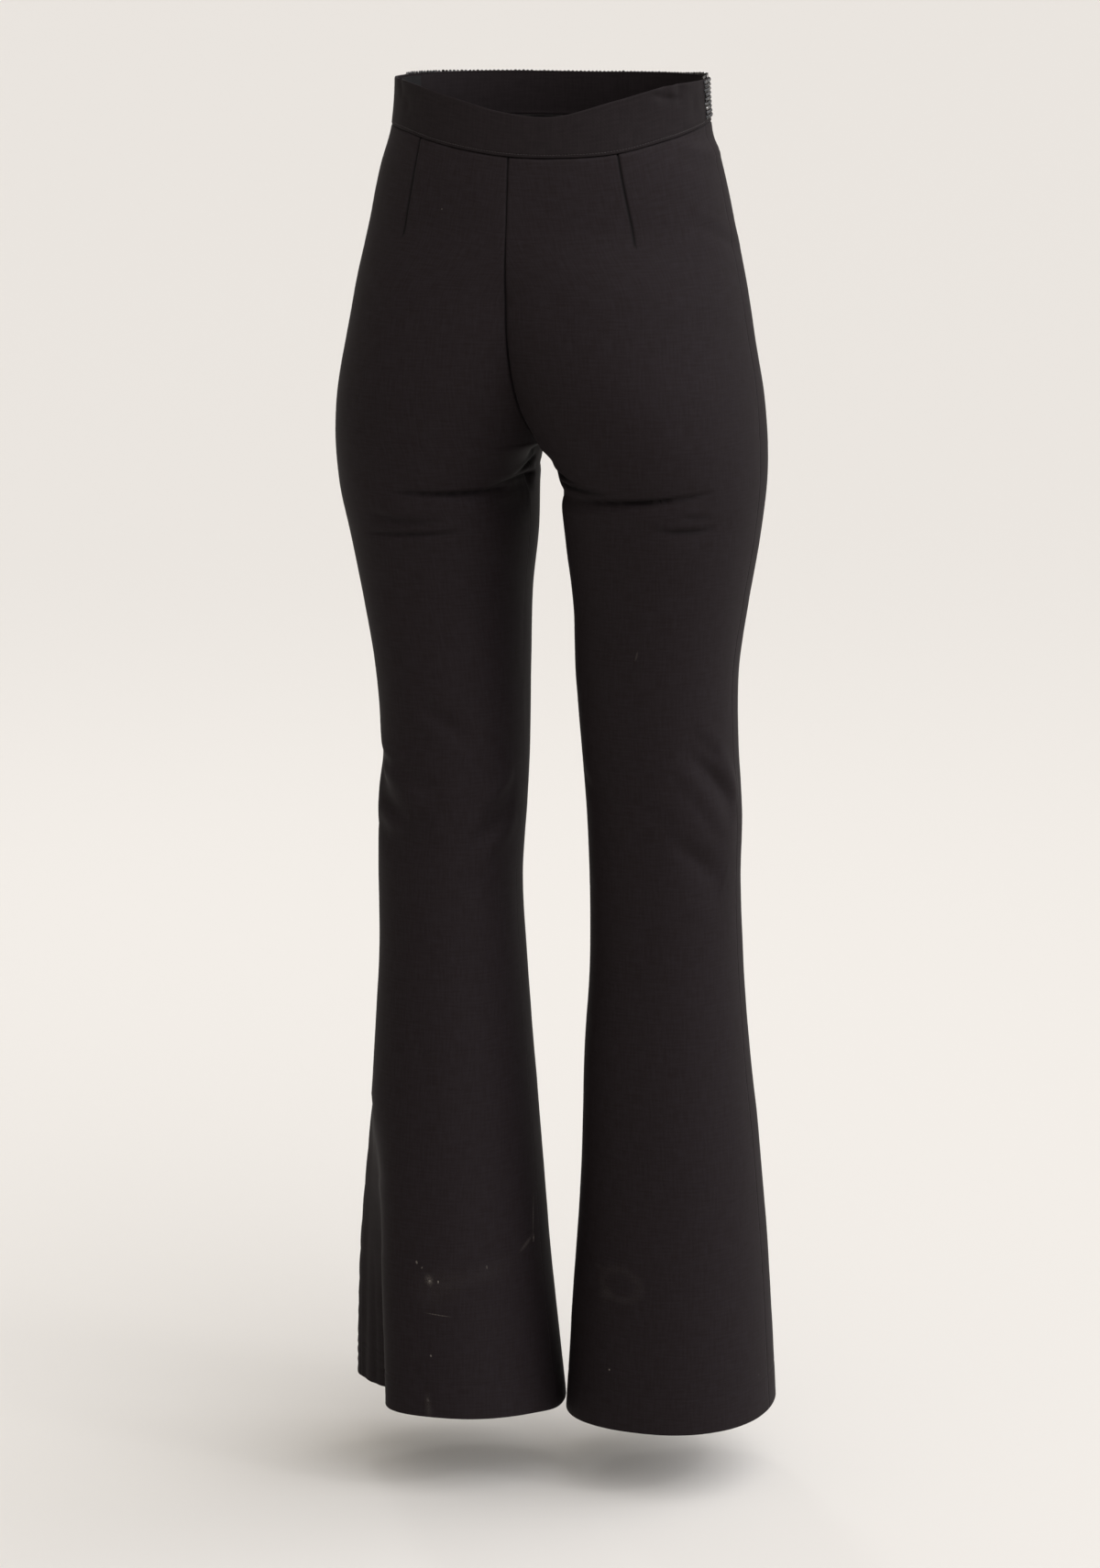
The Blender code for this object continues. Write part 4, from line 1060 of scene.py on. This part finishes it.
def stone_glass():
    """Black glass with a foiled back: a dark mirror. Stones of high tone are drawn lighter
    grey, partly their own grey, warm cast and partly painted sparkle.
    """
    made, tree, shader = material("black_foiled_glass", (
        ("Metallic", 0.1), ("Roughness", 0.09), ("IOR", 1.6), ("Specular IOR Level", 0.38)))
    tone = node(tree, "Attribute", (("attribute_name", "tone"),))
    # tones above 0.72 turn lighter grey: partly the stones' own cast, partly painted sparkle
    cast = node(tree, "ValToRGB", (), (("Fac", tone.outputs["Fac"]),))
    cast.color_ramp.elements[0].position = 0.72
    cast.color_ramp.elements[0].color = colour("0a0a0b")
    cast.color_ramp.elements[1].color = colour("55524f")
    tree.links.new(cast.outputs["Color"], shader.inputs["Base Color"])
    return made


waistband_stones = stones()
waistband_stones.data.materials.append(stone_glass())

# %% [markdown]
# ## Sewing
# The topstitching above the waist seam is 2 mm long stitches of fine black thread. Each
# is a small flattened grain that lies half in the cloth.


# %% Topstitching
def stitches(name, line, normal, pitch, size):
    """Stitches along a line of points, lying on the cloth."""
    work = bmesh.new()
    along = lengths_along(line)
    for s in np.arange(pitch / 2, along[-1] - pitch / 2, pitch):
        at, ahead, out = (
            Vector([np.interp(t, along, values[:, axis]) for axis in range(3)])
            for t, values in ((s, line), (s + 0.5, line), (s, normal)))
        run = (ahead - at).normalized()
        out = out.normalized()
        aside = out.cross(run).normalized()
        basis = Matrix((run, aside, out)).transposed().to_4x4()
        matrix = Matrix.Scale(MM, 4) @ Matrix.Translation(at) @ basis
        bmesh.ops.create_icosphere(work, subdivisions=1, radius=1.0,
                                   matrix=matrix @ Matrix.Diagonal((*size, 1.0)))
    return piece_from(name, work)


STITCH_PITCH = 2.4
STITCH_SIZE = (0.95, 0.32, 0.26)     # half length, half width, half height
thread, *_ = material("black_polyester_thread", (
    ("Base Color", colour("2a2425")), ("Roughness", 0.5), ("Specular IOR Level", 0.4)))
fractions = np.linspace(0.0, 1.0, 160)
proud = np.full((2, 2 * len(fractions) - 1), BAND_PROUD - 0.15)
line, normal = band_grid(BACK, fractions, (0.0, 0.02), proud, STITCHED_AT)
topstitching = stitches("waistband_topstitching", line[0], normal[0], STITCH_PITCH, STITCH_SIZE)
topstitching.data.materials.append(thread)
print("stitches:", len(topstitching.data.polygons) // 20)

# %% [markdown]
# ## Zip
# The opening is a concealed zip in the left side seam. From outside only its slider and
# drop-shaped pull show; inside, the tape carries two rows of small nylon teeth. The
# slider, the pull and the tape keep their CAD shapes and get their finishes here.


# %% Teeth and finishes of the zip
ZIP_BOTTOM, ZIP_TOP, TOOTH_PITCH = -168.0, 32.0, 1.7
TOOTH_INSIDE = 3.9     # mm from the cloth's outer face to the middle of a tooth


def zip_teeth():
    work = bmesh.new()
    heights = np.arange(ZIP_BOTTOM, ZIP_TOP, TOOTH_PITCH)
    for k, z in enumerate(heights):
        row = surface(LEFT, BACK, np.array([[0.0]]), np.array([[z]]), 0.0)[0, 0]
        across = 0.8 if k % 2 else -0.8
        centre = (row[0] - TOOTH_INSIDE, row[1] + across, z)
        matrix = Matrix.Scale(MM, 4) @ Matrix.Translation(centre)
        bmesh.ops.create_icosphere(work, subdivisions=1, radius=1.0,
                                   matrix=matrix @ Matrix.Diagonal((0.7, 1.7, 0.75, 1.0)))
    print(len(heights), "teeth")
    return piece_from("zip_teeth", work)


teeth = zip_teeth()
nylon, *_ = material("black_nylon", (
    ("Base Color", colour("1f1e1f")), ("Roughness", 0.38), ("IOR", 1.53)))
teeth.data.materials.append(nylon)

lacquer, *_ = material("black_lacquered_zinc", (
    ("Base Color", colour("26262a")), ("Metallic", 0.7), ("Roughness", 0.3),
    ("Coat Weight", 0.5), ("Coat Roughness", 0.15)))
tape, *_ = material("woven_polyester_tape", (
    ("Base Color", colour("151414")), ("Roughness", 0.8), ("Specular IOR Level", 0.2)))
for name, finish in (("zip_slider", lacquer), ("zip_pull", lacquer), ("zip_tape", tape)):
    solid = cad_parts[name]
    solid.data.materials.clear()
    solid.data.materials.append(finish)

# %% [markdown]
# ## Riding and replacing
# Every piece rides on the garment's body. The panels, the bands and the stones take the
# place of their CAD nodes, which are hidden, and only the panels and bands are lit by the
# lamp over the seat.

# %% Riding and replacing
for name, (piece, area) in panel_pieces.items():
    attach(piece, "garment")
    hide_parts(name)
for name, (piece, area) in band_pieces.items():
    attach(piece, "garment")
    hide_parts(name)
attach(waistband_stones, "garment")
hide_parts("bead_trim")
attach(topstitching, "garment")
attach(teeth, "garment")

for piece, _ in list(panel_pieces.values()) + list(band_pieces.values()):
    lit_from_above.objects.link(piece)
